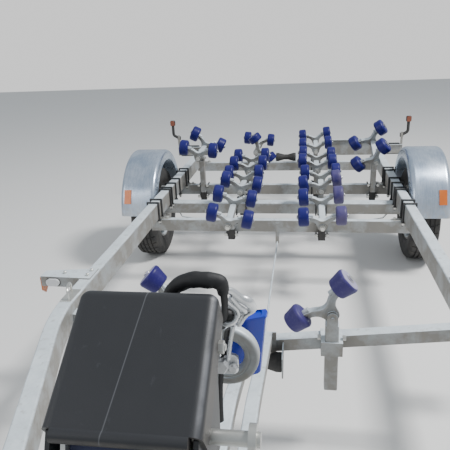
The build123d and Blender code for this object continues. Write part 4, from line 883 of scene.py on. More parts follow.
def facing(point: Point, direction: Point) -> Matrix:
    """A frame at a point with its Z axis along a direction.

    Args:
        point: The frame's origin.
        direction: Where Z points.

    Returns:
        The frame.
    """
    turn = Vector(direction).to_track_quat("Z", "Y").to_matrix().to_4x4()
    return Matrix.Translation(point) @ turn


def smooth_path(points: list[Vector], sizes: list[float], steps: int) -> list[tuple[Vector, float]]:
    """Points and radii on a smooth curve through the given ones.

    Args:
        points: Points to pass through.
        sizes: Radius at each.
        steps: Pieces between two of them.

    Returns:
        Centres and radii in order.
    """
    if len(points) == 2 or steps == 1:
        return list(zip(points, sizes))
    ends = [2 * points[0] - points[1], *points, 2 * points[-1] - points[-2]]
    path = []
    for k in range(1, len(ends) - 2):
        a, b, c, d = ends[k - 1:k + 3]
        for step in range(steps):
            t = step / steps
            square, cube = 2 * a - 5 * b + 4 * c - d, 3 * b - a - 3 * c + d
            place = 0.5 * (2 * b + (c - a) * t + square * t * t + cube * t ** 3)
            path.append((place, sizes[k - 1] + (sizes[k] - sizes[k - 1]) * t))
    path.append((points[-1], sizes[-1]))
    return path


@dataclass
class Assembly:
    """A group of dressed pieces."""

    shop: Paintshop

    def place(self, forge: Forge, name: str, finish: Finish, body: str = "frame",
              stands_for: tuple[str, ...] = (), angle: float = 35.0) -> bpy.types.Object:
        """Finish a piece, put it on its body and hide the CAD nodes that it stands for.

        Args:
            forge: The piece's faces.
            name: Its name.
            finish: Its coating.
            body: The body it rides on.
            stands_for: CAD nodes that it replaces.
            angle: Edges sharper than this many degrees stay sharp.

        Returns:
            The object.
        """
        obj = forge.finish(name, self.shop.material(finish), angle)
        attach(obj, body)
        if stands_for:
            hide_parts(*stands_for)
        LOG.info("%s: %d faces", name, len(obj.data.polygons))
        return obj


@dataclass
class Wheels(Assembly):
    """Tyres with tread and sidewall rings, wheel bolts, hub caps and valves."""

    x: float = 957.0
    y: float = 1760.0
    radius: float = 325.0
    rim_radius: float = 178.0
    bead_x: float = 68.0
    pitches: int = 34
    notch: tuple[float, ...] = (0.0, 0.22, 0.44, 0.47, 0.55, 0.58)
    notch_depth: float = 6.5
    notch_deep: tuple[int, ...] = (3, 4)
    grooves: tuple[float, ...] = (-44.0, -15.0, 15.0, 44.0)
    groove_half: float = 4.6
    groove_slope: float = 1.2
    groove_depth: float = 7.5
    tread_half: float = 72.0
    shoulder_drop: float = 3.5
    crown_drop: float = 2.2
    rib_half: float = 14.5
    tread_lean: float = 0.0009
    bolts: int = 5
    bolt_circle: float = 56.0
    bolt_out: float = 21.0
    bolt_across: float = 19.0
    cap: Profile = (
        (31.0, 24.0), (31.0, 30.0), (28.5, 31.0), (28.5, 42.0), (26.0, 47.0), (18.0, 50.0), (6.0, 51.0),
        (0.0, 51.0))
    valve_up: float = 164.0

    def build(self) -> None:
        """Build both wheels' pieces."""
        for side, name in ((1, "right"), (-1, "left")):
            body = f"wheel_{name}"
            self.place(self._tyre(side), f"tread_{name}", Coating.TYRE, body, (f"tyre_{name}",), 30.0)
            self.place(self._bolts(side), f"wheel_bolts_{name}", Coating.ZINC, body)
            self.place(self._valve(side), f"valve_{name}", Coating.BLACK_RUBBER, body)

    def _across(self) -> list[tuple[float, float, float]]:
        """Points across the tyre: x, radius and how much a notch lowers them.

        Returns:
            The points, from the inner bead to the outer one.
        """
        crown = self.radius - 0.5
        side = [(78.5, 316.0, 0.0), (83.5, 308.0, 0.0), (87.5, 299.0, 0.0), (90.0, 284.0, 0.0),
                (91.8, 283.0, 0.0), (92.2, 263.0, 0.0), (91.0, 248.0, 0.0), (89.5, 233.0, 0.0),
                (88.0, 231.0, 0.0), (82.5, 207.0, 0.0), (74.0, 200.0, 0.0), (self.bead_x, 194.0, 0.0),
                (self.bead_x - 0.5, self.rim_radius + 0.4, 0.0)]
        top = [(-self.tread_half, crown - self.shoulder_drop, 1.0)]
        for middle in self.grooves:
            half, slope, depth = self.groove_half, self.groove_slope, self.groove_depth
            for offset, down, share in ((-half, 0.0, 1.0), (-half + slope, depth, 0.0),
                                        (half - slope, depth, 0.0), (half, 0.0, 1.0)):
                x = middle + offset
                top.append((x, crown - down - self.crown_drop * (x / self.tread_half) ** 2, share))
            rib = middle + self.rib_half
            top.append((rib, crown - self.crown_drop * (rib / self.tread_half) ** 2, 0.5))
        top = [point for point in top if point[0] < 60.0]
        top.append((self.tread_half, crown - self.shoulder_drop, 1.0))
        left = [(-x, radius, share) for x, radius, share in reversed(side)]
        return left + top + side

    def _tyre(self, side: int) -> Forge:
        """One tyre, its section swept through every station of every pitch.

        Args:
            side: 1 for the right wheel, -1 for the left one.

        Returns:
            The piece's faces.
        """
        section = self._across()
        forge = Forge()
        rings = []
        for pitch in range(self.pitches):
            for place, share in enumerate(self.notch):
                angle = 2.0 * math.pi * (pitch + share) / self.pitches
                deep = self.notch_depth if place in self.notch_deep else 0.0
                ring = []
                for x, radius, lowered in section:
                    lean = angle + self.tread_lean * abs(x)
                    reach = radius - deep * lowered
                    ring.append(Vector((side * (self.x + x), self.y + reach * math.sin(lean),
                                        self.radius + reach * math.cos(lean))))
                rings.append(ring)
        forge.loft(rings, closed=True)
        return forge

    def _bolts(self, side: int) -> Forge:
        """Wheel bolts and the grease cap.

        Args:
            side: 1 for the right wheel, -1 for the left one.

        Returns:
            The piece's faces.
        """
        forge = Forge()
        for k in range(self.bolts):
            angle = 2.0 * math.pi * (k + 0.25) / self.bolts
            y = self.y + self.bolt_circle * math.sin(angle)
            z = self.radius + self.bolt_circle * math.cos(angle)
            forge.nut((side * (self.x + self.bolt_out), y, z), (side, 0, 0), self.bolt_across, 0.0)
        forge.lathe(facing((side * self.x, self.y, self.radius), (side, 0, 0)), list(self.cap), 32)
        return forge

    def _valve(self, side: int) -> Forge:
        """Valve stem in the rim.

        Args:
            side: 1 for the right wheel, -1 for the left one.

        Returns:
            The piece's faces.
        """
        forge = Forge()
        z = self.radius + self.valve_up
        forge.tube([(side * (self.x + 16), self.y, z), (side * (self.x + 40), self.y, z - 6)], [6.0, 4.0], 10)
        return forge


@dataclass
class FrameFittings(Assembly):
    """Nuts, corner plates, end plugs and lashing eyes of the frame."""

    beam_x: float = 790.0
    beam_top: float = 560.0
    beam_bottom: float = 450.0
    bolt_rows: tuple[float, ...] = (1187.0, 1260.0, 1495.0, 1545.0, 1662.0, 1788.0, 2016.0, 2096.0, 2770.0)
    cross_rows: tuple[float, ...] = (1223.0, 2057.0, 2813.0)
    cross_height: float = 80.0
    leg_out: float = 36.0
    post_half: float = 20.0
    clamp_out: float = 34.0
    bow_clamp_out: float = 40.0
    bow_clamp_z: float = 470.0
    beam_end_y: float = 2834.0
    rail_x: float = 32.0
    rail_end_y: float = -1639.0
    rail_z: float = 580.0
    cross_end_x: float = 815.0
    gusset_x: float = 759.0
    gusset_bolt_x: float = 712.0
    gusset: Profile = (
        (0.0, -19.0), (0.0, 19.0), (-52.0, 19.0), (-70.0, 6.0), (-70.0, -6.0), (-52.0, -19.0))
    eye_wire: float = 5.0
    eye_path: Route = (
        (778.0, -118.0, 562.0), (779.0, -116.0, 590.0), (784.0, -104.0, 606.0), (792.0, -76.0, 610.0),
        (799.0, -48.0, 604.0), (802.0, -36.0, 588.0), (802.0, -34.0, 562.0))
    eye_plate_x: tuple[float, float] = (765.0, 812.0)
    eye_plate_y: tuple[float, float] = (-130.0, -22.0)
    eye_plate_thick: float = 4.0

    def build(self) -> None:
        """Build the frame's small pieces."""
        self.place(self._nuts(), "frame_nuts", Coating.ZINC)
        self.place(self._plugs(), "end_plugs", Coating.BLACK_PLASTIC)
        self.place(self._corners(), "corner_plates", Coating.ZINC)
        self.place(self._eyes(), "lashing_eyes", Coating.ZINC)

    def _nuts(self) -> Forge:
        """Nuts under the beams, at the posts' clamps, on the pivot pins and at the bow posts.

        Returns:
            The piece's faces.
        """
        forge = Forge()
        for y in self.bolt_rows:
            for side in (-1, 1):
                for leg in (-self.leg_out, self.leg_out):
                    forge.nut((side * self.beam_x + leg, y, self.beam_bottom - 6.0), (0, 0, -1), 19.0, 5.0)
        for cradle in CRADLES:
            face = cradle.y + cradle.clamp_side * self.post_half
            for x in (cradle.x - self.clamp_out, cradle.x + self.clamp_out):
                for z in (self.beam_bottom - self.cross_height - 5.0, self.beam_bottom + 3.0):
                    forge.nut((x, face, z), (0, cradle.clamp_side, 0), 16.0, 3.0)
            for side in (-1, 1):
                pin = (cradle.x + side * self.post_half, cradle.y, cradle.pivot_z)
                forge.nut(pin, (side, 0, 0), 17.0, 2.0 * (side > 0))
        for x in BOW_FORK_X:
            for side in (1, -1):
                forge.nut((x + side * self.bow_clamp_out, BOW_FORK_Y, self.bow_clamp_z), (side, 0, 0), 17.0,
                          0.0)
        return forge

    def _plugs(self) -> Forge:
        """Plastic plugs in the ends of the beams, the crossbeams and the rails.

        Returns:
            The piece's faces.
        """
        forge = Forge()
        level = (self.beam_top + self.beam_bottom) / 2
        for side in (-1, 1):
            beam_end = facing((side * self.beam_x, self.beam_end_y, level), (0, 1, 0))
            forge.prism(beam_end, rounded(60.0, 110.0, 8.0), 5.0, 1.2)
            rail_end = facing((side * self.rail_x, self.rail_end_y, self.rail_z), (0, -1, 0))
            forge.prism(rail_end, rounded(40.0, 40.0, 6.0), 4.5, 1.2)
            for y in self.cross_rows:
                middle = self.beam_bottom - self.cross_height / 2
                cross_end = facing((side * self.cross_end_x, y, middle), (side, 0, 0))
                forge.prism(cross_end, rounded(40.0, self.cross_height, 6.0), 4.0, 1.0)
        return forge

    def _corners(self) -> Forge:
        """Gusset plates on the crossbeams beside the beams.

        Returns:
            The piece's faces.
        """
        forge = Forge()
        for y in self.cross_rows:
            for side in (-1, 1):
                place = Matrix.Translation((side * self.gusset_x, y, self.beam_bottom))
                turn = place @ Matrix.Scale(side, 4, (1, 0, 0))
                forge.prism(turn, list(self.gusset), 5.0, 0.8)
                forge.nut((side * self.gusset_bolt_x, y, self.beam_bottom + 5.0), (0, 0, 1), 15.0, 0.0)
        return forge

    def _eyes(self) -> Forge:
        """Bent wire eyes on the beams ahead of the lamp brackets.

        Returns:
            The piece's faces.
        """
        forge = Forge()
        for side in (-1, 1):
            forge.tube([(side * x, y, z) for x, y, z in self.eye_path], self.eye_wire, 10)
            near, far = sorted(side * x for x in self.eye_plate_x)
            front, rear = self.eye_plate_y
            top = self.beam_top + self.eye_plate_thick
            forge.block((near, front, self.beam_top), (far, rear, top))
        return forge


def rounded(width: float, height: float, corner: float) -> list[tuple[float, float]]:
    """Outline of a rectangle with rounded corners.

    Args:
        width: Size along X.
        height: Size along Y.
        corner: The corners' radius.

    Returns:
        The outline's points.
    """
    points = []
    for quarter in range(4):
        sign_x = 1 if quarter in (0, 3) else -1
        sign_y = 1 if quarter < 2 else -1
        for step in range(4):
            angle = math.pi / 2 * (quarter + step / 3)
            points.append((sign_x * (width / 2 - corner) + corner * math.cos(angle),
                           sign_y * (height / 2 - corner) + corner * math.sin(angle)))
    return points


@dataclass
class CradleFittings(Assembly):
    """Bolt heads on the forks and caps on the rollers' pins, for each cradle and each bow fork."""

    hub_x: float = 145.0
    axis_rise: float = 72.0
    boss_half: float = 13.0
    bow_hub_x: float = 150.0
    fork_bolt_across: float = 24.0
    cap: Profile = (
        (13.0, -5.5), (19.0, -5.4), (19.0, -3.6), (12.0, -3.0), (10.5, 0.0), (9.5, 2.6), (5.0, 4.2),
        (0.0, 4.6))

    def build(self) -> None:
        """Build the fittings of each body that moves."""
        for cradle in CRADLES:
            forge = Forge()
            for place, frame in cradle.forks():
                self._fork(forge, frame, place, self.hub_x)
            self.place(forge, f"fittings_{cradle.name}", Coating.ZINC, f"cradle_{cradle.name}_body")
        for name, x, roll in zip(("bow_left", "bow_right"), BOW_FORK_X, BOW_FORK_ROLL):
            forge = Forge()
            place = Matrix.Translation((x, BOW_FORK_Y, BOW_FORK_Z))
            self._caps(forge, place @ Matrix.Rotation(math.radians(-roll), 4, "Y"), self.bow_hub_x)
            self.place(forge, f"fittings_{name}", Coating.ZINC, name)

    def _fork(self, forge: Forge, frame: Matrix, place: int, hub_x: float) -> None:
        """One fork's bolt head and its rollers' caps.

        Args:
            forge: Takes the pieces.
            frame: The fork's frame about its bolt.
            place: -1 for a front fork, 1 for a rear one.
            hub_x: Where the rollers' hubs end.
        """
        head = frame @ Vector((0.0, place * self.boss_half, 0.0))
        outward = frame.to_3x3() @ Vector((0.0, place, 0.0))
        forge.nut(tuple(head), tuple(outward), self.fork_bolt_across, 0.0)
        self._caps(forge, frame, hub_x)

    def _caps(self, forge: Forge, frame: Matrix, hub_x: float) -> None:
        """Washers and push-on caps on both pins.

        Args:
            forge: Takes the pieces.
            frame: The fork's frame about its bolt.
            hub_x: Where the rollers' hubs end.
        """
        for side in (-1, 1):
            turn = frame @ facing((side * hub_x, 0.0, self.axis_rise), (side, 0, 0))
            forge.lathe(turn, list(self.cap), 20)


@dataclass
class WinchFittings(Assembly):
    """Sleeved strap end, snap hook, lug, ring collar, bow stop, webbing and the winch's bolts."""

    shaft_y: float = -1490.0
    shaft_z: float = 1165.0
    block_low: float = 1080.0
    block_top: float = 1176.0
    block_y: float = -1290.0
    block_edge: Profile = (
        (-60.0, 1.0), (60.0, 1.0), (117.0, 27.0), (118.5, 31.0), (118.5, 44.0), (116.0, 48.5), (112.0, 47.0),
        (8.0, 20.0), (-8.0, 20.0), (-112.0, 47.0), (-116.0, 48.5), (-118.5, 44.0), (-118.5, 31.0),
        (-117.0, 27.0))
    sleeve_path: Route = (
        (6.0, 52.0, 1180.0), (8.0, 74.0, 1212.0), (10.0, 106.0, 1243.0), (14.0, 111.0, 1266.0),
        (23.0, 108.0, 1278.0), (31.0, 106.0, 1284.0), (39.0, 104.0, 1288.4), (47.0, 102.0, 1291.0),
        (55.0, 101.0, 1291.6), (63.0, 101.0, 1291.2), (70.0, 102.0, 1290.4), (75.5, 103.0, 1287.6),
        (78.5, 104.0, 1281.0), (78.5, 105.0, 1273.0))
    sleeve_radii: tuple[float, ...] = (
        6.0, 6.2, 6.8, 7.4, 8.6, 9.4, 9.0, 9.8, 9.2, 9.8, 8.8, 9.2, 7.6, 6.2)
    hook_path: Route = (
        (82.0, -1382.0, 1276.0), (87.0, -1377.0, 1272.0), (95.5, -1371.0, 1261.0),
        (104.5, -1367.0, 1254.0), (109.0, -1361.0, 1242.0), (99.0, -1357.0, 1231.0),
        (90.0, -1351.0, 1213.0))
    hook_radii: tuple[float, ...] = (4.0, 4.6, 5.4, 6.4, 5.2, 4.6, 3.6)
    latch_path: Route = (
        (86.0, -1380.0, 1266.0), (94.0, -1374.0, 1252.0), (101.0, -1368.0, 1242.0),
        (96.0, -1362.0, 1236.0))
    latch_radii: tuple[float, ...] = (2.6, 3.0, 3.0, 2.4)
    shank_path: Route = (
        (80.0, -1378.0, 1262.0), (85.0, -1372.0, 1253.0), (91.0, -1366.0, 1243.0),
        (91.0, -1360.0, 1231.0), (83.0, -1354.0, 1217.0))
    shank_radius: float = 3.2
    left_link: Route = ((68.0, -1352.0, 1212.0), (61.0, -1332.0, 1170.0), (58.0, -1320.0, 1140.0))
    left_link_radii: tuple[float, ...] = (4.2, 3.8, 3.6)
    right_link: Route = ((84.0, -1354.0, 1214.0), (76.0, -1334.0, 1176.0), (70.0, -1322.0, 1140.0))
    right_link_radii: tuple[float, ...] = (3.2, 3.0, 3.4)
    eye_centre: Point = (79.0, -1362.0, 1232.0)
    eye_axis: Point = (0.1, -0.85, 0.5)
    eye_radius: float = 10.0
    eye_wire: float = 3.8
    knob: Profile = ((0.0, -5.0), (6.5, -4.0), (7.5, 0.0), (6.5, 4.0), (3.0, 6.0), (0.0, 6.5))
    link_strap: Route = ((76.0, -1350.0, 1206.0), (69.0, -1330.0, 1172.0), (64.0, -1320.0, 1142.0))
    link_strap_radius: float = 4.6
    eye_strap: Route = (
        (79.5, -1385.0, 1272.0), (79.0, -1380.0, 1254.0), (77.0, -1372.0, 1236.0),
        (73.0, -1360.0, 1214.0))
    eye_strap_radii: tuple[float, ...] = (5.0, 4.6, 4.4, 3.8)
    loose_end: Route = (
        (60.0, -1320.0, 1124.0), (58.0, -1322.0, 1094.0), (57.0, -1322.0, 1064.0),
        (57.0, -1322.0, 1040.0))
    loose_end_radius: float = 4.2
    lug_centre: Point = (67.0, -1314.0, 1134.0)
    lug_bolt: Point = (61.0, -1322.0, 1138.0)
    lug_pin: Point = (77.0, -1322.0, 1131.0)
    pin: Profile = ((7.0, 0.0), (7.0, 5.0), (5.0, 7.0), (0.0, 7.0))
    ring_centre: Point = (66.0, -1296.0, 1140.0)
    collar_radius: float = 31.0
    collar_thick: float = 7.0
    collar_back: float = 9.0
    collar_reach: float = 8.2
    turn_count: int = 9
    turn_first: float = 22.0
    turn_pitch: float = 2.3
    turn_line: float = 1.1
    roll_face: float = 55.8
    roll_line: float = 54.6
    roll_edge: float = 54.5
    roll_hub: float = 20.5
    roll_radius: float = 42.0
    plate_x: float = 75.0
    plate_bolts: Profile = ((-1536.0, 1122.0), (-1442.0, 1122.0), (-1430.0, 1232.0))
    foot_x: float = 40.0
    foot_rows: tuple[float, float] = (-1528.0, -1412.0)
    foot_top: float = 606.0

    def build(self) -> None:
        """Build the winch's pieces."""
        self.place(self._sleeve(), "strap_sleeve", Trim.SLEEVE, stands_for=("winch_strap",), angle=60.0)
        self.place(self._hook(), "snap_hook", Trim.BRIGHT, angle=50.0)
        self.place(self._black(), "hook_strap", Trim.SLEEVE, angle=50.0)
        self.place(self._lug(), "shackle_lug", Trim.BRIGHT)
        self.place(self._ring(), "ring_collar", Coating.GALVANISED)
        self.place(self._block(), "bow_stop", Coating.BOW, stands_for=("bow_block",), angle=40.0)
        self.place(self._webbing(), "webbing_turns", Coating.WEBBING, "drum", ("strap_roll",))
        self.place(self._plate_bolts(), "winch_bolts", Coating.ZINC)

    def _sleeve(self) -> Forge:
        """Fat sleeve over the strap, arched behind the hood.

        Returns:
            The piece's faces.
        """
        forge = Forge()
        path = [(x, self.shaft_y + behind, z) for x, behind, z in self.sleeve_path]
        forge.tube(path, self.sleeve_radii, 16)
        return forge

    def _hook(self) -> Forge:
        """Forged hook, its latch, the eye and the link to the lug.

        Returns:
            The piece's faces.
        """
        forge = Forge()
        forge.tube(self.hook_path, self.hook_radii)
        forge.tube(self.latch_path, self.latch_radii)
        forge.tube(self.shank_path, self.shank_radius)
        ring = [(self.eye_radius + self.eye_wire * math.cos(k * math.pi / 4),
                 self.eye_wire * math.sin(k * math.pi / 4)) for k in range(8)]
        forge.hoop(facing(self.eye_centre, self.eye_axis), ring, 28)
        forge.tube(self.left_link, self.left_link_radii)
        forge.tube(self.right_link, self.right_link_radii)
        return forge

    def _black(self) -> Forge:
        """Knob in the eye, the black strap beside the link and the loose end below.

        Returns:
            The piece's faces.
        """
        forge = Forge()
        forge.lathe(facing(self.eye_centre, self.eye_axis), list(self.knob), 18)
        forge.tube(self.link_strap, self.link_strap_radius, 10, 0.35)
        forge.tube(self.eye_strap, self.eye_strap_radii, 10, 0.6)
        forge.tube(self.loose_end, self.loose_end_radius, 10, 0.4)
        return forge

    def _lug(self) -> Forge:
        """Plate on the ring's face with its bolt and pin.

        Returns:
            The piece's faces.
        """
        forge = Forge()
        forge.prism(facing(self.lug_centre, (0, -1, 0)), rounded(34.0, 30.0, 8.0), 8.0, 1.2)
        forge.nut(self.lug_bolt, (0, -1, 0), 19.0, 0.0)
        forge.lathe(facing(self.lug_pin, (0, -1, 0)), list(self.pin), 16)
        return forge

    def _ring(self) -> Forge:
        """Round collar inside the bow ring, which narrows its hole.

        Returns:
            The piece's faces.
        """
        forge = Forge()
        angles = [k * math.pi / 6 for k in range(12)]
        section = [(self.collar_radius + self.collar_thick * math.cos(a),
                    self.collar_back + self.collar_reach * math.sin(a)) for a in angles]
        forge.hoop(facing(self.ring_centre, (0, -1, 0)), section, 48)
        return forge

    def _block(self) -> Forge:
        """V-shaped stop with a raised rim round its top.

        Returns:
            The piece's faces.
        """
        forge = Forge()
        plan = [(x, self.block_y + back) for x, back in self.block_edge]
        centre = self.block_y + 28
        levels = [(0.88, 0.0, self.block_low), (0.91, 0.0, self.block_low + 3),
                  (0.985, 0.0, self.block_top - 5), (1.0, 0.0, self.block_top - 3),
                  (0.99, 0.4, self.block_top), (0.93, 3.0, self.block_top), (0.92, 3.4, self.block_top - 2.5)]
        rings = []
        for share, inset, z in levels:
            shrink = 1.0 - inset / 24.0
            rings.append([Vector((x * share, centre + (py - centre) * shrink, z)) for x, py in plan])
        forge.loft(rings)
        return forge

    def _webbing(self) -> Forge:
        """The roll of webbing, its turns showing as fine steps on both faces.

        Returns:
            The piece's faces.
        """
        forge = Forge()
        profile = [(self.roll_hub, -self.roll_face)]
        for k in range(self.turn_count):
            radius = self.turn_first + self.turn_pitch * k
            profile += [(radius, -self.roll_face), (radius, -self.roll_line),
                        (radius + self.turn_line, -self.roll_line)]
        profile += [(self.roll_radius, -self.roll_edge), (self.roll_radius, self.roll_edge)]
        other_half = [(radius, -height) for radius, height in reversed(profile[:-2])]
        forge.lathe(facing((0.0, self.shaft_y, self.shaft_z), (1, 0, 0)), profile + other_half, 48)
        return forge

    def _plate_bolts(self) -> Forge:
        """Bolts of the winch's side plates, its base and the stand's foot.

        Returns:
            The piece's faces.
        """
        forge = Forge()
        for side in (-1, 1):
            for y, z in self.plate_bolts:
                forge.nut((side * self.plate_x, y, z), (side, 0, 0), 13.0, 2.0)
            for y in self.foot_rows:
                forge.nut((side * self.foot_x, y, self.foot_top), (0, 0, 1), 17.0, 4.0)
        return forge


@dataclass
class LampFittings(Assembly):
    """Front gaskets, screws, the rear lamps' housings and the lenses."""

    bar_y: float = 2987.0
    sheet: float = 3.0
    lamp_x: float = 929.0
    lamp_z: float = 520.0
    marker_x: float = 1081.0
    marker_z: float = 787.0
    front_x: float = 945.0
    front_y: float = 89.0
    front_z: float = 540.0
    front_straight: float = 14.0
    front_radius: float = 17.2
    fender_y: float = 1760.0
    fender_bolt_out: float = 367.0
    fender_bolt_x: float = 838.0
    fender_bolt_z: float = 490.0
    bracket_bolts: Profile = ((790.0, 110.0), (790.0, 160.0), (905.0, 128.0))
    bracket_top: float = 565.0
    arm_x: float = 826.0
    arm_rows: tuple[float, float] = (2806.0, 2830.0)
    arm_levels: tuple[float, float] = (494.0, 532.0)
    panel_screws: tuple[float, ...] = (430.0, 560.0, 750.0)
    panel_z: float = 540.0
    lens_out: float = 33.0
    rib_pitch: float = 7.4
    rib_out: float = 22.5

    def build(self) -> None:
        """Build the lamps' pieces."""
        self.place(self._rims(), "lamp_gaskets", Coating.BLACK_RUBBER)
        self.place(self._screws(), "lamp_screws", Coating.ZINC)
        self.place(self._housings(), "rear_lamp_housings", Coating.BLACK_PLASTIC, stands_for=("rear_lamps",))
        for name, finish, fields in (("stop_lenses", Coating.RED, ((844.0, 898.0), (962.0, 1014.0))),
                                     ("turn_lenses", Coating.AMBER, ((900.0, 930.0),)),
                                     ("reverse_lenses", Coating.CLEAR, ((932.0, 960.0),))):
            self.place(self._lenses(fields), name, finish)
        self.place(self._markers(-1), "marker_lenses_front", Trim.DARK_AMBER)
        self.place(self._markers(1), "marker_lenses_rear", Coating.RED)

    def _rims(self) -> Forge:
        """Dark gasket round each front lamp.

        Returns:
            The piece's faces.
        """
        forge = Forge()
        for side in (-1, 1):
            section = [(0.0, -2.0), (3.0, -2.0), (3.0, 3.0), (0.0, 3.0)]
            ring = []
            for k in range(32):
                angle = 2.0 * math.pi * k / 32
                straight = self.front_straight * (1 if math.cos(angle) > 0 else -1)
                normal = Vector((math.cos(angle), 0.0, math.sin(angle)))
                middle = Vector((side * self.front_x + straight, self.front_y, self.front_z))
                base = middle + normal * self.front_radius
                ring.append([base + normal * out + Vector((0.0, -depth, 0.0)) for out, depth in section])
            forge.loft(ring, closed=True)
        return forge

    def _screws(self) -> Forge:
        """Screws of the brackets, the fenders and the number-plate panel.

        Returns:
            The piece's faces.
        """
        forge = Forge()
        for side in (-1, 1):
            for x, y in self.bracket_bolts:
                forge.nut((side * x, y, self.bracket_top), (0, 0, 1), 13.0, 0.0)
            for y in (self.fender_y - self.fender_bolt_out, self.fender_y + self.fender_bolt_out):
                forge.nut((side * self.fender_bolt_x, y, self.fender_bolt_z), (side, 0, 0), 16.0, 0.0)
            for y in self.arm_rows:
                for z in self.arm_levels:
                    forge.nut((side * self.arm_x, y, z), (side, 0, 0), 13.0, 0.0)
        for x in self.panel_screws:
            forge.nut((x, self.bar_y + self.sheet, self.panel_z), (0, 1, 0), 10.0, 0.0)
        return forge

    def _housings(self) -> Forge:
        """Black bases of the rear lamps and of the side markers.

        Returns:
            The piece's faces.
        """
        forge = Forge()
        for side in (-1, 1):
            lamp = facing((side * self.lamp_x, self.bar_y + self.sheet, self.lamp_z), (0, 1, 0))
            forge.prism(lamp, rounded(182.0, 100.0, 10.0), 34.0, 2.0)
            marker = facing((side * self.marker_x, self.bar_y + 2.0, self.marker_z), (0, 1, 0))
            forge.prism(marker, rounded(45.0, 50.0, 9.0), 22.0, 1.0)
        return forge

    def _lenses(self, fields: tuple[tuple[float, float], ...]) -> Forge:
        """Ribbed lens fields of both rear lamps.

        Args:
            fields: Inner and outer edge of each field.

        Returns:
            The lenses.
        """
        forge = Forge()
        for side in (-1, 1):
            for inner, outer in fields:
                front = self.bar_y + self.sheet + self.lens_out
                turn = facing((side * (inner + outer) / 2, front, self.lamp_z), (0, 1, 0))
                forge.prism(turn, rounded(outer - inner, 90.0, 4.0), 23.0, 2.5)
                half = (outer - inner) / 2 - 5
                for k in range(-5, 6):
                    rib = turn @ Matrix.Translation((0.0, k * self.rib_pitch, self.rib_out))
                    forge.prism(rib, [(half, 1.0), (-half, 1.0), (-half, -1.0), (half, -1.0)], 2.0)
        return forge

    def _markers(self, behind: int) -> Forge:
        """Domed lenses of the side markers.

        Args:
            behind: 1 for the rear faces, -1 for the front ones.

        Returns:
            The lenses.
        """
        forge = Forge()
        base = self.bar_y + (2.0 if behind < 0 else 24.0)
        for side in (-1, 1):
            dome = facing((side * self.marker_x, base, self.marker_z), (0, behind, 0))
            forge.prism(dome, rounded(41.0, 46.0, 9.0), 13.0, 4.0)
        return forge


@dataclass
class FenderFittings(Assembly):
    """Rolled beads along the fenders' lower edges."""

    centre_y: float = 1760.0
    centre_z: float = 385.0
    edge_radius: float = 329.5
    sweep: float = 85.0
    inner_x: float = 836.6
    outer_x: float = 1078.4

    def build(self) -> None:
        """Build the fenders' pieces."""
        self.place(self._beads(), "fender_beads", Coating.FENDER)

    def _beads(self) -> Forge:
        """Beads along both lower edges of each fender.

        Returns:
            The piece's faces.
        """
        forge = Forge()
        for side in (-1, 1):
            for x in (self.inner_x, self.outer_x):
                path = []
                for k in range(25):
                    angle = math.radians(-self.sweep + 2 * self.sweep * k / 24)
                    path.append((side * x, self.centre_y + self.edge_radius * math.sin(angle),
                                 self.centre_z + self.edge_radius * math.cos(angle)))
                forge.tube(path, 2.6, 8, 1.0, 2)
        return forge


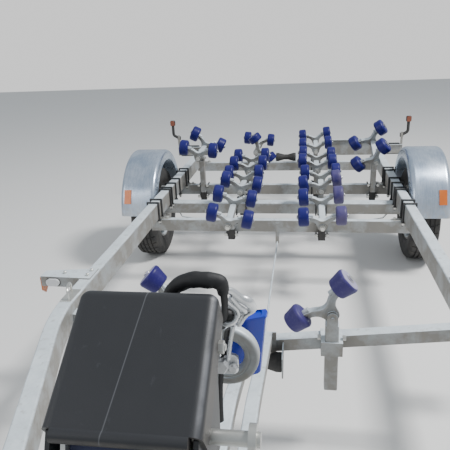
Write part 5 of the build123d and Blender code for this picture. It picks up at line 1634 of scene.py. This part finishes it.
@dataclass
class DrawbarFittings(Assembly):
    """Drawbar bolts, the clamp's spindle, the grips and the jockey wheel's nuts and ribs."""

    jockey_x: float = 235.0
    jockey_y: float = -2250.0
    wheel_y: float = -2205.0
    wheel_z: float = 100.0
    coupling_x: float = 30.0
    coupling_rows: tuple[float, float] = (-2925.0, -2885.0)
    coupling_z: float = 505.0
    housing_x: float = 48.0
    housing_rows: tuple[float, ...] = (-2680.0, -2560.0, -2440.0)
    housing_z: float = 480.0
    tie_bolts: Profile = ((-2505.0, 86.0), (-2415.0, 112.0))
    tie_top: float = 566.0
    lever_pivot: Point = (66.0, -2640.0, 528.0)
    spindle_z: float = 505.0
    grip_start: Point = (58.0, -2345.0, 727.4)
    grip_end: Point = (58.0, -2246.0, 794.9)
    grip_ribs: int = 9
    crank_grip: Profile = (
        (9.0, 0.0), (13.2, 3.0), (13.6, 35.0), (13.2, 68.0), (9.0, 76.0), (0.0, 77.0))
    crank_reach: float = 122.0
    crank_z: float = 830.0

    def build(self) -> None:
        """Build the drawbar's pieces."""
        self.place(self._bolts(), "drawbar_bolts", Coating.ZINC)
        self.place(self._grips(), "drawbar_grips", Coating.BLACK_RUBBER)
        self.place(self._jockey_hub(), "jockey_axle_nuts", Coating.ZINC, "jockey_yoke")
        self.place(self._jockey_rim(), "jockey_rim", Trim.GREY_PLASTIC, "jockey_roller")

    def _bolts(self) -> Forge:
        """Bolts through the coupling, the tie plates and the housing, and the clamp's spindle.

        Returns:
            The piece's faces.
        """
        forge = Forge()
        for side in (-1, 1):
            for y in self.coupling_rows:
                forge.nut((side * self.coupling_x, y, self.coupling_z), (side, 0, 0), 17.0, 4.0 * (side > 0))
            for y in self.housing_rows:
                forge.nut((side * self.housing_x, y, self.housing_z), (side, 0, 0), 15.0, 0.0)
            for y, x in self.tie_bolts:
                forge.nut((side * x, y, self.tie_top), (0, 0, 1), 19.0, 4.0)
        forge.nut(self.lever_pivot, (1, 0, 0), 19.0, 3.0)
        x, y = self.jockey_x + 16.0, self.jockey_y + 5.0
        forge.tube([(x, y, self.spindle_z), (x + 46.0, y + 10.0, self.spindle_z)], 6.0, 12)
        forge.tube([(x + 44.0, y + 10.0, self.spindle_z - 35.0), (x + 44.0, y + 10.0, self.spindle_z + 35.0)],
                   4.5, 10)
        return forge

    def _grips(self) -> Forge:
        """Ribbed grips on the handbrake and the jockey wheel's crank.

        Returns:
            The piece's faces.
        """
        forge = Forge()
        along = Vector(self.grip_end) - Vector(self.grip_start)
        profile = [(13.0, 0.0)]
        for k in range(self.grip_ribs):
            low = 4.0 + k * (along.length - 12.0) / self.grip_ribs
            profile += [(16.6, low), (16.6, low + 6.0), (15.2, low + 7.5), (15.2, low + 9.0)]
        profile += [(16.0, along.length - 4.0), (10.0, along.length), (0.0, along.length)]
        forge.lathe(facing(self.grip_start, tuple(along)), profile, 20)
        crank = facing((self.jockey_x, self.jockey_y - self.crank_reach, self.crank_z), (0, 0, 1))
        forge.lathe(crank, list(self.crank_grip), 20)
        return forge

    def _jockey_hub(self) -> Forge:
        """Nuts on the jockey wheel's axle.

        Returns:
            The piece's faces.
        """
        forge = Forge()
        for side in (-1, 1):
            forge.nut((self.jockey_x + side * 36.0, self.wheel_y, self.wheel_z), (side, 0, 0), 17.0, 2.0)
        return forge

    def _jockey_rim(self) -> Forge:
        """Ribs of the jockey wheel's plastic centre, on both faces.

        Returns:
            The piece's faces.
        """
        forge = Forge()
        for side in (-1, 1):
            face = facing((self.jockey_x + side * 8.0, self.wheel_y, self.wheel_z), (side, 0, 0))
            for k in range(8):
                turn = face @ Matrix.Rotation(k * math.pi / 4, 4, "Z")
                forge.prism(turn, [(25.0, -2.5), (63.0, -2.5), (63.0, 2.5), (25.0, 2.5)], 12.0)
            forge.hoop(face, [(60.0, 0.0), (66.0, 0.0), (64.0, 14.0), (61.0, 14.0)], 36)
        return forge


def main() -> None:
    """Build the scene."""
    logging.basicConfig(level=logging.INFO, format="%(message)s")
    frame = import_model()
    Studio().build()
    shop = Paintshop(frame)
    shop.dress()
    LOG.info("dressed %d nodes", len(frame["nodes"]))
    groups = (Wheels, FrameFittings, CradleFittings, WinchFittings, LampFittings, FenderFittings,
              DrawbarFittings)
    for group in groups:
        group(shop).build()


if __name__ == "__main__":
    main()
